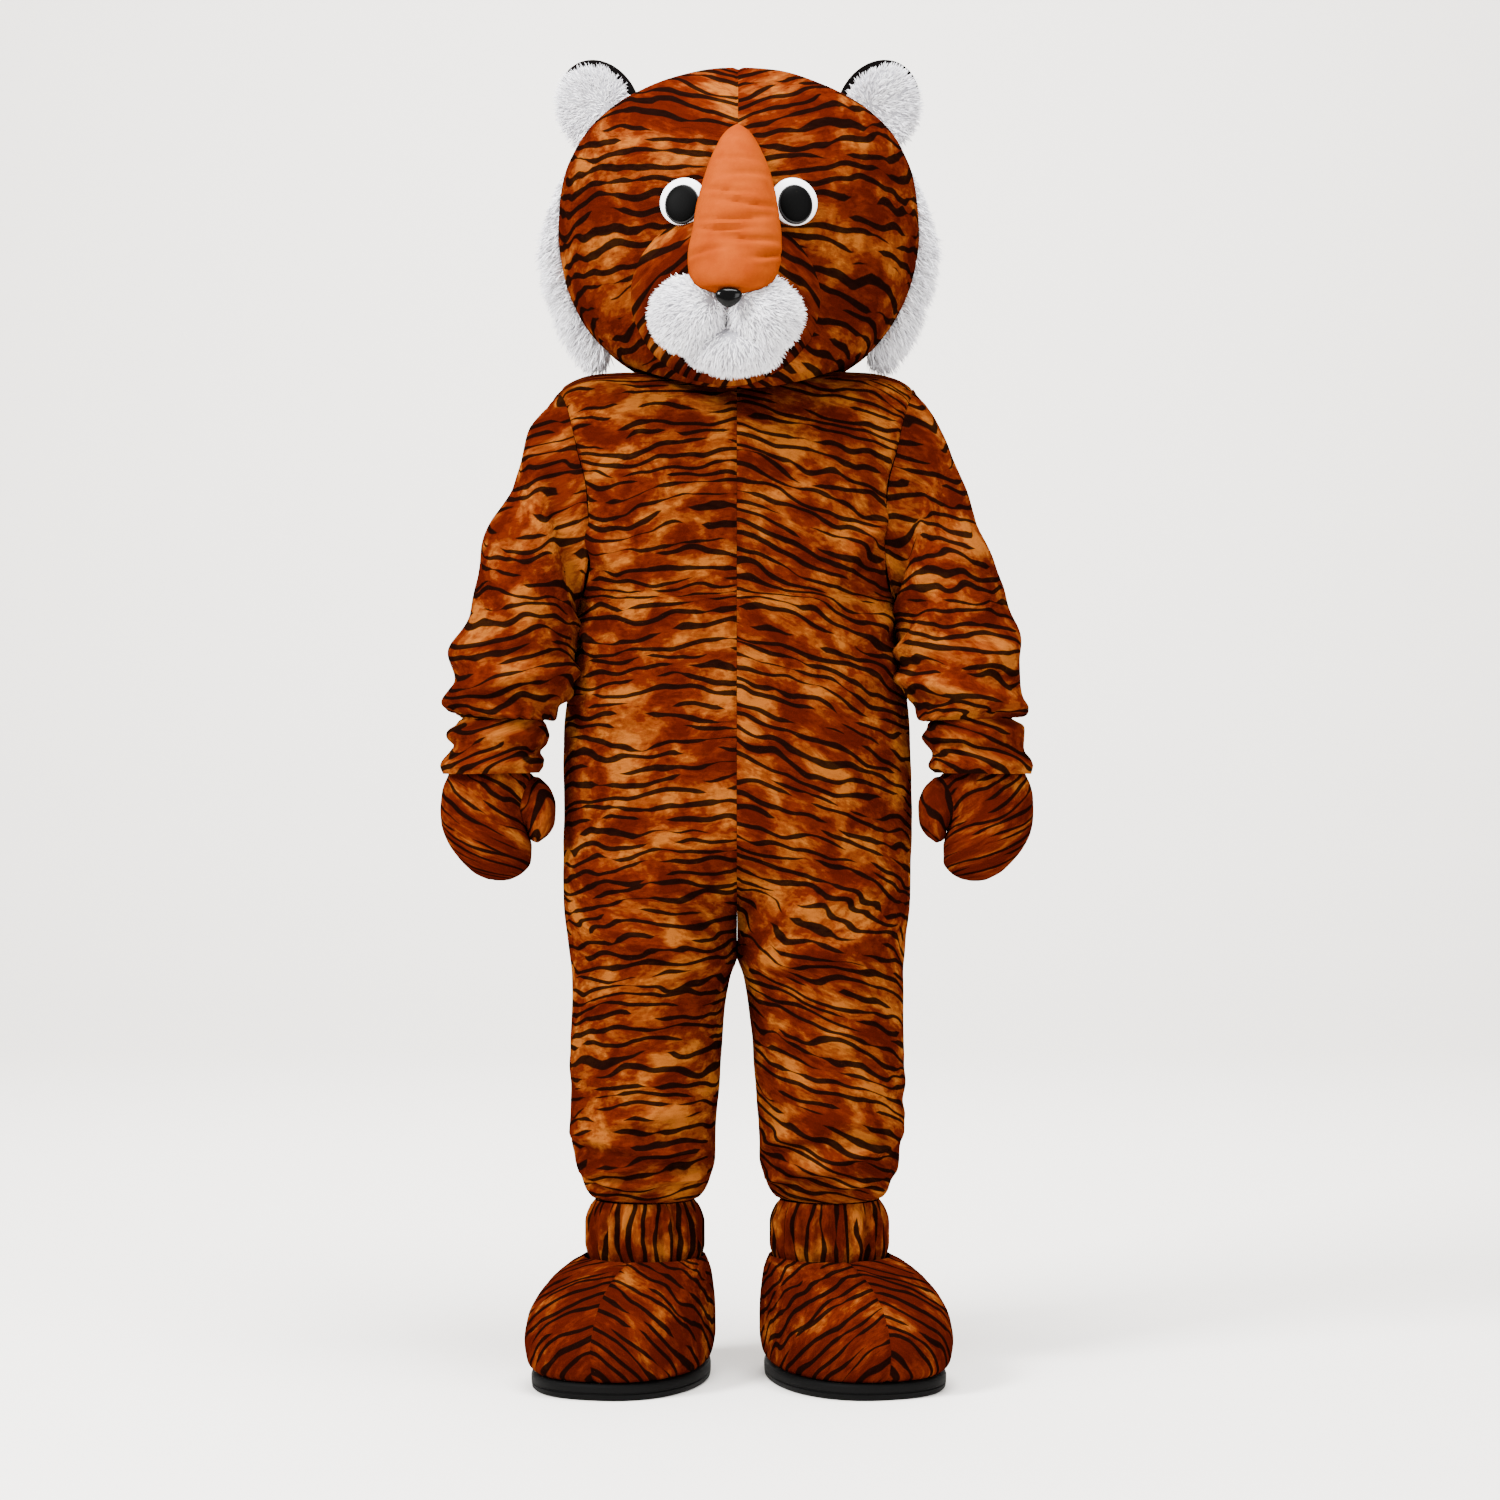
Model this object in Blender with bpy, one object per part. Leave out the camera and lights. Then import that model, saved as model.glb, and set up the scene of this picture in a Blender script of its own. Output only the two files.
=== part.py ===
"""Tiger mascot costume: plush suit, mitts, boots and a foam-backed head, filled out as when worn.

Heights in the tables are above the ground. One empty lowers everything, so that the world origin is
at the shoulders, where the wearer carries the costume. The front faces -Y, the wearer's left is +X.
"""
import math
from collections import namedtuple

import bmesh
import bpy
import numpy as np
from mathutils import Matrix, Vector

SHOULDER_HEIGHT = 1.455   # ground to the neck base, where the costume hangs on its wearer
PLUSH_WALL = 0.003        # one layer of short-pile plush
CUFF_WALL = 0.005         # plush folded on itself
HEAD_WALL = 0.010         # plush laminated on foam
SEAM_PULL = 0.0002        # each piece stops this far from the seam line
CLEAR = 0.0006            # between a stuffed piece and what it is sewn to
SIDES = ((1.0, "left"), (-1.0, "right"))   # the wearer's, and the way each lies from the middle
BODY_COLUMNS = 7          # panel columns from the centre seam to the side seam
HEAD_COLUMNS = 6
NECK_HALF_WIDTH = 0.095
NECK_HALF_DEPTH = 0.070

BodyRow = namedtuple("BodyRow", "middle side inner outer front back edge rise")
# middle and side: heights at the centre and at the outer edge. inner and outer: distances from the
# centre plane. front and back: depths. edge: how far the armhole lies from the side line.
# rise: 0 where the row is a torso section, 1 where it is a separate leg.
BODY_ROWS = [
    BodyRow(0.256, 0.256, 0.0600, 0.2140, 0.078, 0.078, 0.0, 1.0),
    BodyRow(0.272, 0.272, 0.0470, 0.2250, 0.090, 0.090, 0.0, 1.0),
    BodyRow(0.290, 0.290, 0.0400, 0.2310, 0.098, 0.098, 0.0, 1.0),
    BodyRow(0.315, 0.315, 0.0330, 0.2410, 0.107, 0.106, 0.0, 1.0),
    BodyRow(0.345, 0.345, 0.0320, 0.2430, 0.110, 0.110, 0.0, 1.0),
    BodyRow(0.400, 0.400, 0.0280, 0.2450, 0.114, 0.114, 0.0, 1.0),
    BodyRow(0.460, 0.460, 0.0230, 0.2460, 0.118, 0.119, 0.0, 1.0),
    BodyRow(0.530, 0.530, 0.0175, 0.2450, 0.126, 0.130, 0.0, 1.0),
    BodyRow(0.585, 0.585, 0.0100, 0.2450, 0.140, 0.144, 0.0, 1.0),
    BodyRow(0.616, 0.616, 0.0000, 0.2475, 0.151, 0.154, 0.0, 1.0),
    BodyRow(0.640, 0.640, 0.0000, 0.2500, 0.159, 0.160, 0.0, 0.93),
    BodyRow(0.672, 0.672, 0.0000, 0.2535, 0.168, 0.166, 0.0, 0.72),
    BodyRow(0.710, 0.710, 0.0000, 0.2555, 0.176, 0.169, 0.0, 0.42),
    BodyRow(0.750, 0.750, 0.0000, 0.2570, 0.181, 0.170, 0.0, 0.16),
    BodyRow(0.800, 0.800, 0.0000, 0.2580, 0.184, 0.170, 0.0, 0.0),
    BodyRow(0.870, 0.870, 0.0000, 0.2580, 0.185, 0.168, 0.0, 0.0),
    BodyRow(0.940, 0.940, 0.0000, 0.2560, 0.183, 0.165, 0.0, 0.0),
    BodyRow(1.005, 1.005, 0.0000, 0.2490, 0.179, 0.163, 0.0, 0.0),
    BodyRow(1.070, 1.070, 0.0000, 0.2400, 0.176, 0.162, 0.0, 0.0),
    BodyRow(1.130, 1.130, 0.0000, 0.2320, 0.174, 0.162, 0.0, 0.0),
    BodyRow(1.148, 1.148, 0.0000, 0.2360, 0.174, 0.162, 0.050, 0.0),
    BodyRow(1.185, 1.185, 0.0000, 0.2470, 0.174, 0.164, 0.080, 0.0),
    BodyRow(1.240, 1.240, 0.0000, 0.2530, 0.173, 0.165, 0.090, 0.0),
    BodyRow(1.300, 1.300, 0.0000, 0.2580, 0.169, 0.163, 0.088, 0.0),
    BodyRow(1.350, 1.350, 0.0000, 0.2660, 0.160, 0.155, 0.078, 0.0),
    BodyRow(1.398, 1.390, 0.0000, 0.2710, 0.140, 0.138, 0.062, 0.0),
    BodyRow(1.436, 1.414, 0.0000, 0.2735, 0.108, 0.108, 0.042, 0.0),
    BodyRow(1.464, 1.432, 0.0000, 0.2740, 0.066, 0.066, 0.020, 0.0),
    BodyRow(1.478, 1.438, 0.0000, 0.2745, 0.000, 0.000, 0.0, 0.0),
]
FIRST_ARMHOLE_ROW = 19
SHOULDER_SLOPE = 9         # the higher, the later the shoulder falls away

TubeRow = namedtuple("TubeRow", "in_x in_z out_x out_z mid_y depth")
# Each ring of a tube is given by its innermost and outermost points, seen from the front, by how
# far forward or back its middle lies, and by its half depth.
SLEEVE_ROWS = [
    TubeRow(0.2345, 1.120, 0.308, 1.378, -0.004, 0.0890),
    TubeRow(0.2365, 1.104, 0.343, 1.289, -0.020, 0.0880),
    TubeRow(0.2395, 1.082, 0.372, 1.200, -0.036, 0.0860),
    TubeRow(0.2420, 1.056, 0.395, 1.125, -0.050, 0.0840),
    TubeRow(0.2465, 1.030, 0.411, 1.062, -0.060, 0.0830),
    TubeRow(0.2550, 1.003, 0.4175, 1.015, -0.066, 0.0815),
    TubeRow(0.2660, 0.979, 0.4135, 0.982, -0.070, 0.0740),
    TubeRow(0.2800, 0.962, 0.404, 0.965, -0.071, 0.0650),
]
CUFF_ROWS = [
    TubeRow(0.2765, 0.950, 0.412, 0.955, -0.071, 0.0705),
    TubeRow(0.2780, 0.930, 0.420, 0.935, -0.071, 0.0740),
    TubeRow(0.2835, 0.913, 0.4215, 0.916, -0.071, 0.0745),
    TubeRow(0.2830, 0.897, 0.432, 0.895, -0.071, 0.0775),
    TubeRow(0.2890, 0.886, 0.430, 0.884, -0.071, 0.0755),
]

HandRow = namedtuple("HandRow", "height inner outer depth hole")
# hole: half width of the gap that the thumb is sewn into, on the inner edge.
HAND_ROWS = [
    HandRow(0.908, 0.308, 0.414, 0.050, 0.0),
    HandRow(0.885, 0.301, 0.4215, 0.056, 0.0),
    HandRow(0.868, 0.300, 0.4290, 0.060, 0.024),
    HandRow(0.852, 0.303, 0.4325, 0.062, 0.031),
    HandRow(0.834, 0.307, 0.4335, 0.062, 0.030),
    HandRow(0.816, 0.309, 0.4325, 0.061, 0.020),
    HandRow(0.800, 0.306, 0.4290, 0.060, 0.0),
    HandRow(0.778, 0.300, 0.4190, 0.056, 0.0),
    HandRow(0.756, 0.301, 0.4020, 0.047, 0.0),
    HandRow(0.738, 0.313, 0.3820, 0.034, 0.0),
    HandRow(0.726, 0.336, 0.3580, 0.012, 0.0),
]
HAND_COLUMNS = 6
HAND_FORWARD = -0.071

ThumbRow = namedtuple("ThumbRow", "low_x low_z high_x high_z depth")
THUMB_ROWS = [
    ThumbRow(0.3060, 0.7970, 0.2880, 0.8790, 0.033),
    ThumbRow(0.3050, 0.7920, 0.2720, 0.8620, 0.034),
    ThumbRow(0.3020, 0.7880, 0.2645, 0.8380, 0.033),
    ThumbRow(0.2970, 0.7850, 0.2660, 0.8130, 0.028),
    ThumbRow(0.2915, 0.7835, 0.2775, 0.7930, 0.013),
]

HeadRow = namedtuple("HeadRow", "middle side outer front back")
HEAD_ROWS = [
    HeadRow(1.440, 1.482, 0.156, 0.150, 0.150),
    HeadRow(1.456, 1.493, 0.177, 0.186, 0.180),
    HeadRow(1.490, 1.515, 0.203, 0.216, 0.210),
    HeadRow(1.545, 1.555, 0.233, 0.238, 0.236),
    HeadRow(1.610, 1.612, 0.256, 0.249, 0.250),
    HeadRow(1.680, 1.680, 0.267, 0.251, 0.256),
    HeadRow(1.750, 1.750, 0.261, 0.243, 0.252),
    HeadRow(1.810, 1.810, 0.239, 0.222, 0.236),
    HeadRow(1.858, 1.858, 0.199, 0.186, 0.200),
    HeadRow(1.895, 1.895, 0.138, 0.130, 0.142),
    HeadRow(1.918, 1.918, 0.071, 0.066, 0.072),
    HeadRow(1.926, 1.926, 0.000, 0.000, 0.000),
]
HEAD_X = 0.002
FACE_STEP = 0.004             # over which the face's direction is taken

BootRow = namedtuple("BootRow", "height width toe heel narrow")
# narrow: how much slimmer the heel is than the toe.
BOOT_ROWS = [
    BootRow(0.0245, 0.123, 0.262, 0.108, 0.20),
    BootRow(0.042, 0.132, 0.275, 0.115, 0.20),
    BootRow(0.070, 0.136, 0.279, 0.118, 0.20),
    BootRow(0.100, 0.134, 0.268, 0.118, 0.19),
    BootRow(0.128, 0.126, 0.240, 0.115, 0.16),
    BootRow(0.150, 0.114, 0.196, 0.110, 0.11),
    BootRow(0.165, 0.100, 0.142, 0.101, 0.05),
    BootRow(0.173, 0.089, 0.095, 0.093, 0.00),
]
OUTER_SWELL = 0.60         # per unit of slimming, how much the outer half is fuller
BOOT_COLUMNS = 9
BOOT_SQUARENESS = 0.85        # under 1, the outline is fuller than an ellipse
SOLE_HEIGHT = 0.024
SOLE_MARGIN = 0.004
SOLE_ROUND = 0.005            # height of the rounding at the sole's edges
SOLE_LEAN = 0.001             # the side leans out this much up to the upper edge
SOLE_POINTS = 28
ANKLE_X = 0.137
TOE_OUT = {"right": math.radians(14.5), "left": math.radians(17.0)}

CollarRow = namedtuple("CollarRow", "height radius gather")
COLLAR_ROWS = [
    CollarRow(0.1450, 0.0770, 0.000),
    CollarRow(0.1650, 0.0800, 0.002),
    CollarRow(0.1900, 0.0850, 0.003),
    CollarRow(0.2200, 0.0850, 0.003),
    CollarRow(0.2420, 0.0800, 0.002),
    CollarRow(0.2550, 0.0735, 0.000),
]
COLLAR_PLEATS = 9
COLUMNS_PER_PLEAT = 3

RuffRow = namedtuple("RuffRow", "height reach half_depth")
RUFF_ROWS = [
    RuffRow(1.800, 0.006, 0.012),
    RuffRow(1.765, 0.015, 0.022),
    RuffRow(1.710, 0.027, 0.030),
    RuffRow(1.650, 0.037, 0.036),
    RuffRow(1.590, 0.038, 0.038),
    RuffRow(1.542, 0.046, 0.040),
    RuffRow(1.516, 0.048, 0.036),
    RuffRow(1.506, 0.034, 0.022),
]
RUFF_BACK = 0.018
RUFF_ROOT = 0.012
RUFF_POINTS = 8
RUFF_LEAN = 0.012             # height step over which the head's slope under the fur is taken

BridgeRow = namedtuple("BridgeRow", "height forward half_width half_depth sideways")
BRIDGE_ROWS = [
    BridgeRow(1.811, 0.216, 0.004, 0.005, 0.000),
    BridgeRow(1.797, 0.222, 0.018, 0.018, 0.000),
    BridgeRow(1.767, 0.234, 0.034, 0.034, 0.000),
    BridgeRow(1.731, 0.248, 0.0475, 0.044, 0.000),
    BridgeRow(1.690, 0.266, 0.057, 0.050, -0.001),
    BridgeRow(1.650, 0.286, 0.0625, 0.053, -0.002),
    BridgeRow(1.615, 0.305, 0.0655, 0.054, -0.004),
    BridgeRow(1.585, 0.320, 0.062, 0.050, -0.006),
    BridgeRow(1.563, 0.331, 0.047, 0.038, -0.008),
    BridgeRow(1.549, 0.338, 0.024, 0.018, -0.010),
]
BRIDGE_POINTS = 12

EYE_X = 0.0780
EYE_HEIGHT = 1.695
EYE_RADIUS = 0.0345
EYE_DOME = 0.010
EYE_SIDEWAYS = 0.001
PUPIL_WIDTH = 0.0242
PUPIL_LENGTH = 0.0272
PUPIL_DROP = 0.0085
PUPIL_DOME = 0.0095
PUPIL_LIFT = 0.0045
EYE_POINTS = (20, 10)         # around, and from pole to pole

MUZZLE_X = -0.0165
PAD_CENTRE = (MUZZLE_X, -0.190, 1.566)
PAD_RADII = (0.139, 0.112, 0.137)
PAD_POINTS = (24, 14)
LOBE_SIDEWAYS = 0.0520        # from the muzzle's middle to a lobe's centre
LOBE_FORWARD = 0.298
LOBE_HEIGHT = 1.5255
LOBE_RADII = (0.0575, 0.056, 0.0550)
CHIN_CENTRE = (-0.006, -0.290, 1.478)
CHIN_RADII = (0.074, 0.052, 0.036)
BALL_POINTS = (16, 10)

# The nose tip: a rounded triangle with a domed front
NOSE_X = -0.0125
NOSE_FORWARD = 0.352
NOSE_HEIGHT = 1.5445
NOSE_HALF_WIDTH = 0.020
NOSE_HALF_HEIGHT = 0.0118
NOSE_TAPER = 0.26             # how much narrower the outline is at mid height than at the top
NOSE_POINTS = 12
NoseStep = namedtuple("NoseStep", "forward size")
NOSE_STEPS = [
    NoseStep(0.000, 1.00),
    NoseStep(0.010, 1.00),
    NoseStep(0.016, 0.82),
    NoseStep(0.019, 0.45),
]

EAR_X = 0.2070
EAR_HEIGHT = 1.872
EAR_RADIUS = 0.0640
EAR_FLARE = math.radians(32.0)
EAR_TURN = math.radians(24.0)
EAR_FRONT_DOME = 0.016
EAR_BACK_DOME = 0.014
EAR_STRETCH = 1.16
EAR_FRONT_SIZE = 0.94       # the white front is smaller than the black back,
EAR_FRONT_SHIFT = 0.0045     # and set outwards, so black edges it on the inner side
EAR_Y = 0.020

Cloth = namedtuple("Cloth", "points closed flip pole")


def clear_scene():
    for item in list(bpy.data.objects):
        bpy.data.objects.remove(item, do_unlink=True)


def make_material(name, colour, roughness):
    material = bpy.data.materials.new(name)
    material.use_nodes = True
    shader = material.node_tree.nodes["Principled BSDF"]
    shader.inputs["Base Color"].default_value = (*colour, 1.0)
    shader.inputs["Roughness"].default_value = roughness
    shader.inputs["Metallic"].default_value = 0.0
    material.diffuse_color = (*colour, 1.0)
    return material


def add_object(name, shape, material, parent, smooth_angle=40.0):
    """Turn a bmesh into a smooth-shaded object under its parent."""
    bmesh.ops.triangulate(shape, faces=shape.faces, quad_method="SHORT_EDGE")
    bmesh.ops.recalc_face_normals(shape, faces=shape.faces)
    mesh = bpy.data.meshes.new(name)
    shape.to_mesh(mesh)
    shape.free()
    mesh.shade_smooth()
    mesh.set_sharp_from_angle(angle=math.radians(smooth_angle))
    mesh.materials.append(material)
    item = bpy.data.objects.new(name, mesh)
    bpy.context.scene.collection.objects.link(item)
    item.parent = parent
    return item


def add_empty(name, location, turn, parent):
    empty = bpy.data.objects.new(name, None)
    bpy.context.scene.collection.objects.link(empty)
    empty.location = location
    empty.rotation_euler = (0.0, 0.0, turn)
    empty.parent = parent
    return empty


# Cloth walls: a grid of outer points, normals shared along the seams, and an even wall inside.

def mirrored(cloth):
    points = cloth.points * np.array([-1.0, 1.0, 1.0])
    return Cloth(points, cloth.closed, not cloth.flip, cloth.pole)


def point_key(point):
    return tuple(int(round(value * 1e5)) for value in point)


def shared_normals(cloths):
    """Sum the face normals at each place, so pieces that meet at a seam are mitred alike."""
    sums = {}
    for cloth in cloths.values():
        rows, columns = cloth.points.shape[:2]
        spans = columns if cloth.closed else columns - 1
        for row in range(rows - 1):
            for column in range(spans):
                following = (column + 1) % columns
                corners = [(row, column), (row, following), (row + 1, following), (row + 1, column)]
                a, b, c, d = (cloth.points[corner] for corner in corners)
                normal = np.cross(c - a, d - b)
                if cloth.flip:
                    normal = -normal
                for corner in corners:
                    key = point_key(cloth.points[corner])
                    sums[key] = sums.get(key, np.zeros(3)) + normal
    return {key: total / np.linalg.norm(total) for key, total in sums.items()}


def pulled(points, closed):
    """Draw the free edges of a grid of points in by the seam's clearance."""
    moved = points.copy()
    edges = [(slice(0, 1), slice(1, 2), 0), (slice(-1, None), slice(-2, -1), 0)]
    if not closed:
        edges += [(slice(0, 1), slice(1, 2), 1), (slice(-1, None), slice(-2, -1), 1)]
    for edge, inside, axis in edges:
        at_edge = (edge,) if axis == 0 else (slice(None), edge)
        at_inside = (inside,) if axis == 0 else (slice(None), inside)
        step = points[at_inside] - points[at_edge]
        length = np.linalg.norm(step, axis=2, keepdims=True)
        moved[at_edge] += step / np.maximum(length, 1e-9) * SEAM_PULL
    return moved


def wall_shape(cloth, normals, wall):
    """A closed wall: the grid outside, the same grid moved in by its thickness, and rims."""
    outer = cloth.points
    rows, columns = outer.shape[:2]
    lookup = np.array([[normals[point_key(outer[row, column])] for column in range(columns)]
                       for row in range(rows)])
    layers = [pulled(outer, cloth.closed), pulled(outer - lookup * wall, cloth.closed)]
    if cloth.pole:
        for layer in layers:
            layer[-1] = layer[-1].mean(axis=0)
    shape = bmesh.new()
    made = [[[shape.verts.new(layer[row, column]) for column in range(columns)]
             for row in range(rows)] for layer in layers]
    spans = columns if cloth.closed else columns - 1
    for grid in made:
        for row in range(rows - 1):
            for column in range(spans):
                following = (column + 1) % columns
                shape.faces.new((grid[row][column], grid[row][following],
                                 grid[row + 1][following], grid[row + 1][column]))
    outside, inside = made
    for row in (0, rows - 1):
        for column in range(spans):
            following = (column + 1) % columns
            shape.faces.new((outside[row][column], outside[row][following],
                             inside[row][following], inside[row][column]))
    if not cloth.closed:
        for column in (0, columns - 1):
            for row in range(rows - 1):
                shape.faces.new((outside[row][column], outside[row + 1][column],
                                 inside[row + 1][column], inside[row][column]))
    if cloth.pole:
        bmesh.ops.remove_doubles(shape, verts=shape.verts, dist=1e-6)
    return shape


# Suit

def neck_start(row, depth):
    """Angle along a torso section at which the neck hole's edge is met; 0 where it isn't."""
    if depth >= NECK_HALF_DEPTH:
        return 0.0
    if depth <= 0.0:
        return math.asin(NECK_HALF_WIDTH / row.outer)
    ratio = (NECK_HALF_WIDTH / row.outer) ** 2
    y_squared = (1.0 - ratio) / (1.0 / depth ** 2 - ratio / NECK_HALF_DEPTH ** 2)
    x_squared = NECK_HALF_WIDTH ** 2 * (1.0 - y_squared / NECK_HALF_DEPTH ** 2)
    return math.asin(math.sqrt(x_squared) / row.outer)


def body_point(row, turn, facing):
    """A point of the left half's section; turn is 0 at the centre seam and 1 at the side."""
    depth = row.front if facing < 0 else row.back
    start = neck_start(row, depth)
    end = math.acos(min(1.0, row.edge / depth)) if depth > 0.0 else 0.5 * math.pi
    angle = start + (end - start) * turn
    x = row.outer * math.sin(angle)
    y = facing * depth * math.cos(angle)
    if row.rise > 0.0:
        middle = 0.5 * (row.inner + row.outer)
        half = 0.5 * (row.outer - row.inner)
        leg_x = middle - half * math.cos(math.pi * turn)
        leg_y = facing * depth * math.sin(math.pi * turn)
        x += (leg_x - x) * row.rise
        y += (leg_y - y) * row.rise
    height = row.middle + (row.side - row.middle) * (x / row.outer) ** SHOULDER_SLOPE
    return (x + SEAM_PULL, y, height)


def body_panel(facing):
    turns = [column / BODY_COLUMNS for column in range(BODY_COLUMNS + 1)]
    points = np.array([[body_point(row, turn, facing) for turn in turns] for row in BODY_ROWS])
    return Cloth(points, False, facing > 0, False)


def armhole_ring(front, back):
    """The armhole's edge, from the shoulder down the front and up the back."""
    down = front.points[:FIRST_ARMHOLE_ROW - 1:-1, -1]
    up = back.points[FIRST_ARMHOLE_ROW + 1:-1, -1]
    return np.concatenate([down, up])


def tube_ring(row, count):
    """A ring that starts at its outermost point and runs round by the front."""
    low = np.array([row.in_x, row.mid_y, row.in_z])
    high = np.array([row.out_x, row.mid_y, row.out_z])
    middle = 0.5 * (low + high)
    ring = []
    for step in range(count):
        angle = 2.0 * math.pi * step / count
        point = middle + (high - middle) * math.cos(angle)
        point[1] -= row.depth * math.sin(angle)
        ring.append(point)
    return np.array(ring)


def sleeve_and_cuff(front, back):
    first = armhole_ring(front, back)
    count = len(first)
    rings = [first] + [tube_ring(row, count) for row in SLEEVE_ROWS]
    cuff_rings = [rings[-1]] + [tube_ring(row, count) for row in CUFF_ROWS]
    return (Cloth(np.array(rings), True, False, False),
            Cloth(np.array(cuff_rings), True, False, False))


def suit_cloths():
    front = body_panel(-1.0)
    back = body_panel(1.0)
    sleeve, cuff = sleeve_and_cuff(front, back)
    left = {"front": front, "back": back, "sleeve": sleeve, "cuff": cuff}
    cloths = {name + "_left": cloth for name, cloth in left.items()}
    cloths.update({name + "_right": mirrored(cloth) for name, cloth in left.items()})
    return cloths


# Mitts

def hand_half(facing):
    grid = []
    for row in HAND_ROWS:
        end = math.pi - math.asin(row.hole / row.depth)
        middle = 0.5 * (row.inner + row.outer)
        half = 0.5 * (row.outer - row.inner)
        line = []
        for column in range(HAND_COLUMNS + 1):
            angle = end * column / HAND_COLUMNS
            line.append((middle + half * math.cos(angle),
                         HAND_FORWARD + facing * row.depth * math.sin(angle), row.height))
        grid.append(line)
    return Cloth(np.array(grid), False, facing > 0, False)


def thumb(back, palm):
    """The thumb starts at the gap in the hand's inner edge and closes at its tip."""
    holed = [index for index, row in enumerate(HAND_ROWS) if row.hole > 0.0]
    first, last = holed[0] - 1, holed[-1] + 1
    down = back.points[first:last + 1, -1]
    up = palm.points[last - 1:first:-1, -1]
    base = np.concatenate([down, up])
    rings = [base]
    for row in THUMB_ROWS:
        high = np.array([row.high_x, HAND_FORWARD, row.high_z])
        low = np.array([row.low_x, HAND_FORWARD, row.low_z])
        middle = 0.5 * (high + low)
        ring = []
        for step in range(len(base)):
            angle = 2.0 * math.pi * step / len(base)
            point = middle + (high - middle) * math.cos(angle)
            point[1] -= row.depth * math.sin(angle)
            ring.append(point)
        rings.append(np.array(ring))
    rings.append(np.repeat(rings[-1].mean(axis=0)[None, :], len(base), axis=0))
    return Cloth(np.array(rings), True, True, True)


def mitt_cloths():
    back = hand_half(-1.0)
    palm = hand_half(1.0)
    left = {"mitt_back": back, "mitt_palm": palm, "mitt_thumb": thumb(back, palm)}
    cloths = {name + "_left": cloth for name, cloth in left.items()}
    cloths.update({name + "_right": mirrored(cloth) for name, cloth in left.items()})
    return cloths


# Head

def head_point(row, turn, facing):
    depth = row.front if facing < 0 else row.back
    angle = 0.5 * math.pi * turn
    height = row.middle + (row.side - row.middle) * math.sin(angle) ** 2
    return (row.outer * math.sin(angle), facing * depth * math.cos(angle), height)


def head_panel(facing):
    turns = [column / HEAD_COLUMNS for column in range(HEAD_COLUMNS + 1)]
    points = np.array([[head_point(row, turn, facing) for turn in turns] for row in HEAD_ROWS])
    return Cloth(points, False, facing > 0, True)


def head_cloths():
    left = {"head_front": head_panel(-1.0), "head_back": head_panel(1.0)}
    cloths = {name + "_left": cloth for name, cloth in left.items()}
    cloths.update({name + "_right": mirrored(cloth) for name, cloth in left.items()})
    return cloths


def head_outline(height):
    """Half width and face depth of the head at a height."""
    sides = [row.side for row in HEAD_ROWS]
    middles = [row.middle for row in HEAD_ROWS]
    width = float(np.interp(height, sides, [row.outer for row in HEAD_ROWS]))
    depth = float(np.interp(height, middles, [row.front for row in HEAD_ROWS]))
    return width, depth


def face_place(x, height):
    """Place and outward direction on the face."""
    def surface(px, pz):
        width, depth = head_outline(pz)
        return Vector((px, -depth * math.sqrt(max(0.0, 1.0 - (px / width) ** 2)), pz))
    step = FACE_STEP
    across = surface(x + step, height) - surface(x - step, height)
    upward = surface(x, height + step) - surface(x, height - step)
    return surface(x, height), across.cross(upward).normalized()


# Stuffed and solid pieces

def ball(centre, radii, turn=None, points=BALL_POINTS):
    shape = bmesh.new()
    bmesh.ops.create_uvsphere(shape, u_segments=points[0], v_segments=points[1], radius=1.0)
    bmesh.ops.scale(shape, vec=Vector(radii), verts=shape.verts)
    matrix = Matrix.Translation(centre) @ (turn.to_4x4() if turn else Matrix())
    bmesh.ops.transform(shape, matrix=matrix, verts=shape.verts)
    return shape


def trim(shape, place, direction):
    """Keep the part of a closed shape on the direction's side of a plane, and close it there."""
    whole = shape.verts[:] + shape.edges[:] + shape.faces[:]
    bmesh.ops.bisect_plane(shape, geom=whole, plane_co=place, plane_no=direction, clear_inner=True)
    edges = [edge for edge in shape.edges if edge.is_boundary]
    bmesh.ops.contextual_create(shape, geom=edges)
    return shape


def loft(rings):
    """A closed solid through rings of equal count, with flat ends."""
    shape = bmesh.new()
    made = [[shape.verts.new(point) for point in ring] for ring in rings]
    count = len(made[0])
    for low, high in zip(made, made[1:]):
        for index in range(count):
            following = (index + 1) % count
            shape.faces.new((low[index], low[following], high[following], high[index]))
    shape.faces.new(made[0])
    shape.faces.new(made[-1])
    return shape


def make_cutter(name, shape, parent):
    cutter = add_object(name, shape, bpy.data.materials["cutter"], parent)
    cutter.hide_render = True
    cutter.display_type = "WIRE"
    return cutter


def cut(item, *cutters):
    for cutter in cutters:
        modifier = item.modifiers.new("cut by " + cutter.name, "BOOLEAN")
        modifier.operation = "DIFFERENCE"
        modifier.solver = "EXACT"
        modifier.object = cutter


def head_cutter(cloths, parent):
    """The space inside the head's outer face, a seam's clearance larger."""
    normals = shared_normals(cloths)
    shape = bmesh.new()
    rings = []
    names = ["head_front_left", "head_back_left", "head_back_right", "head_front_right"]
    for row in range(len(HEAD_ROWS) - 1):
        ring = []
        for name in names:
            line = cloths[name].points[row]
            if name in ("head_back_left", "head_front_right"):
                line = line[::-1]
            ring.extend(line[:-1])
        rings.append([point + normals[point_key(point)] * CLEAR for point in ring])
    shape = loft(rings)
    return make_cutter("head_space", shape, parent)


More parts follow.
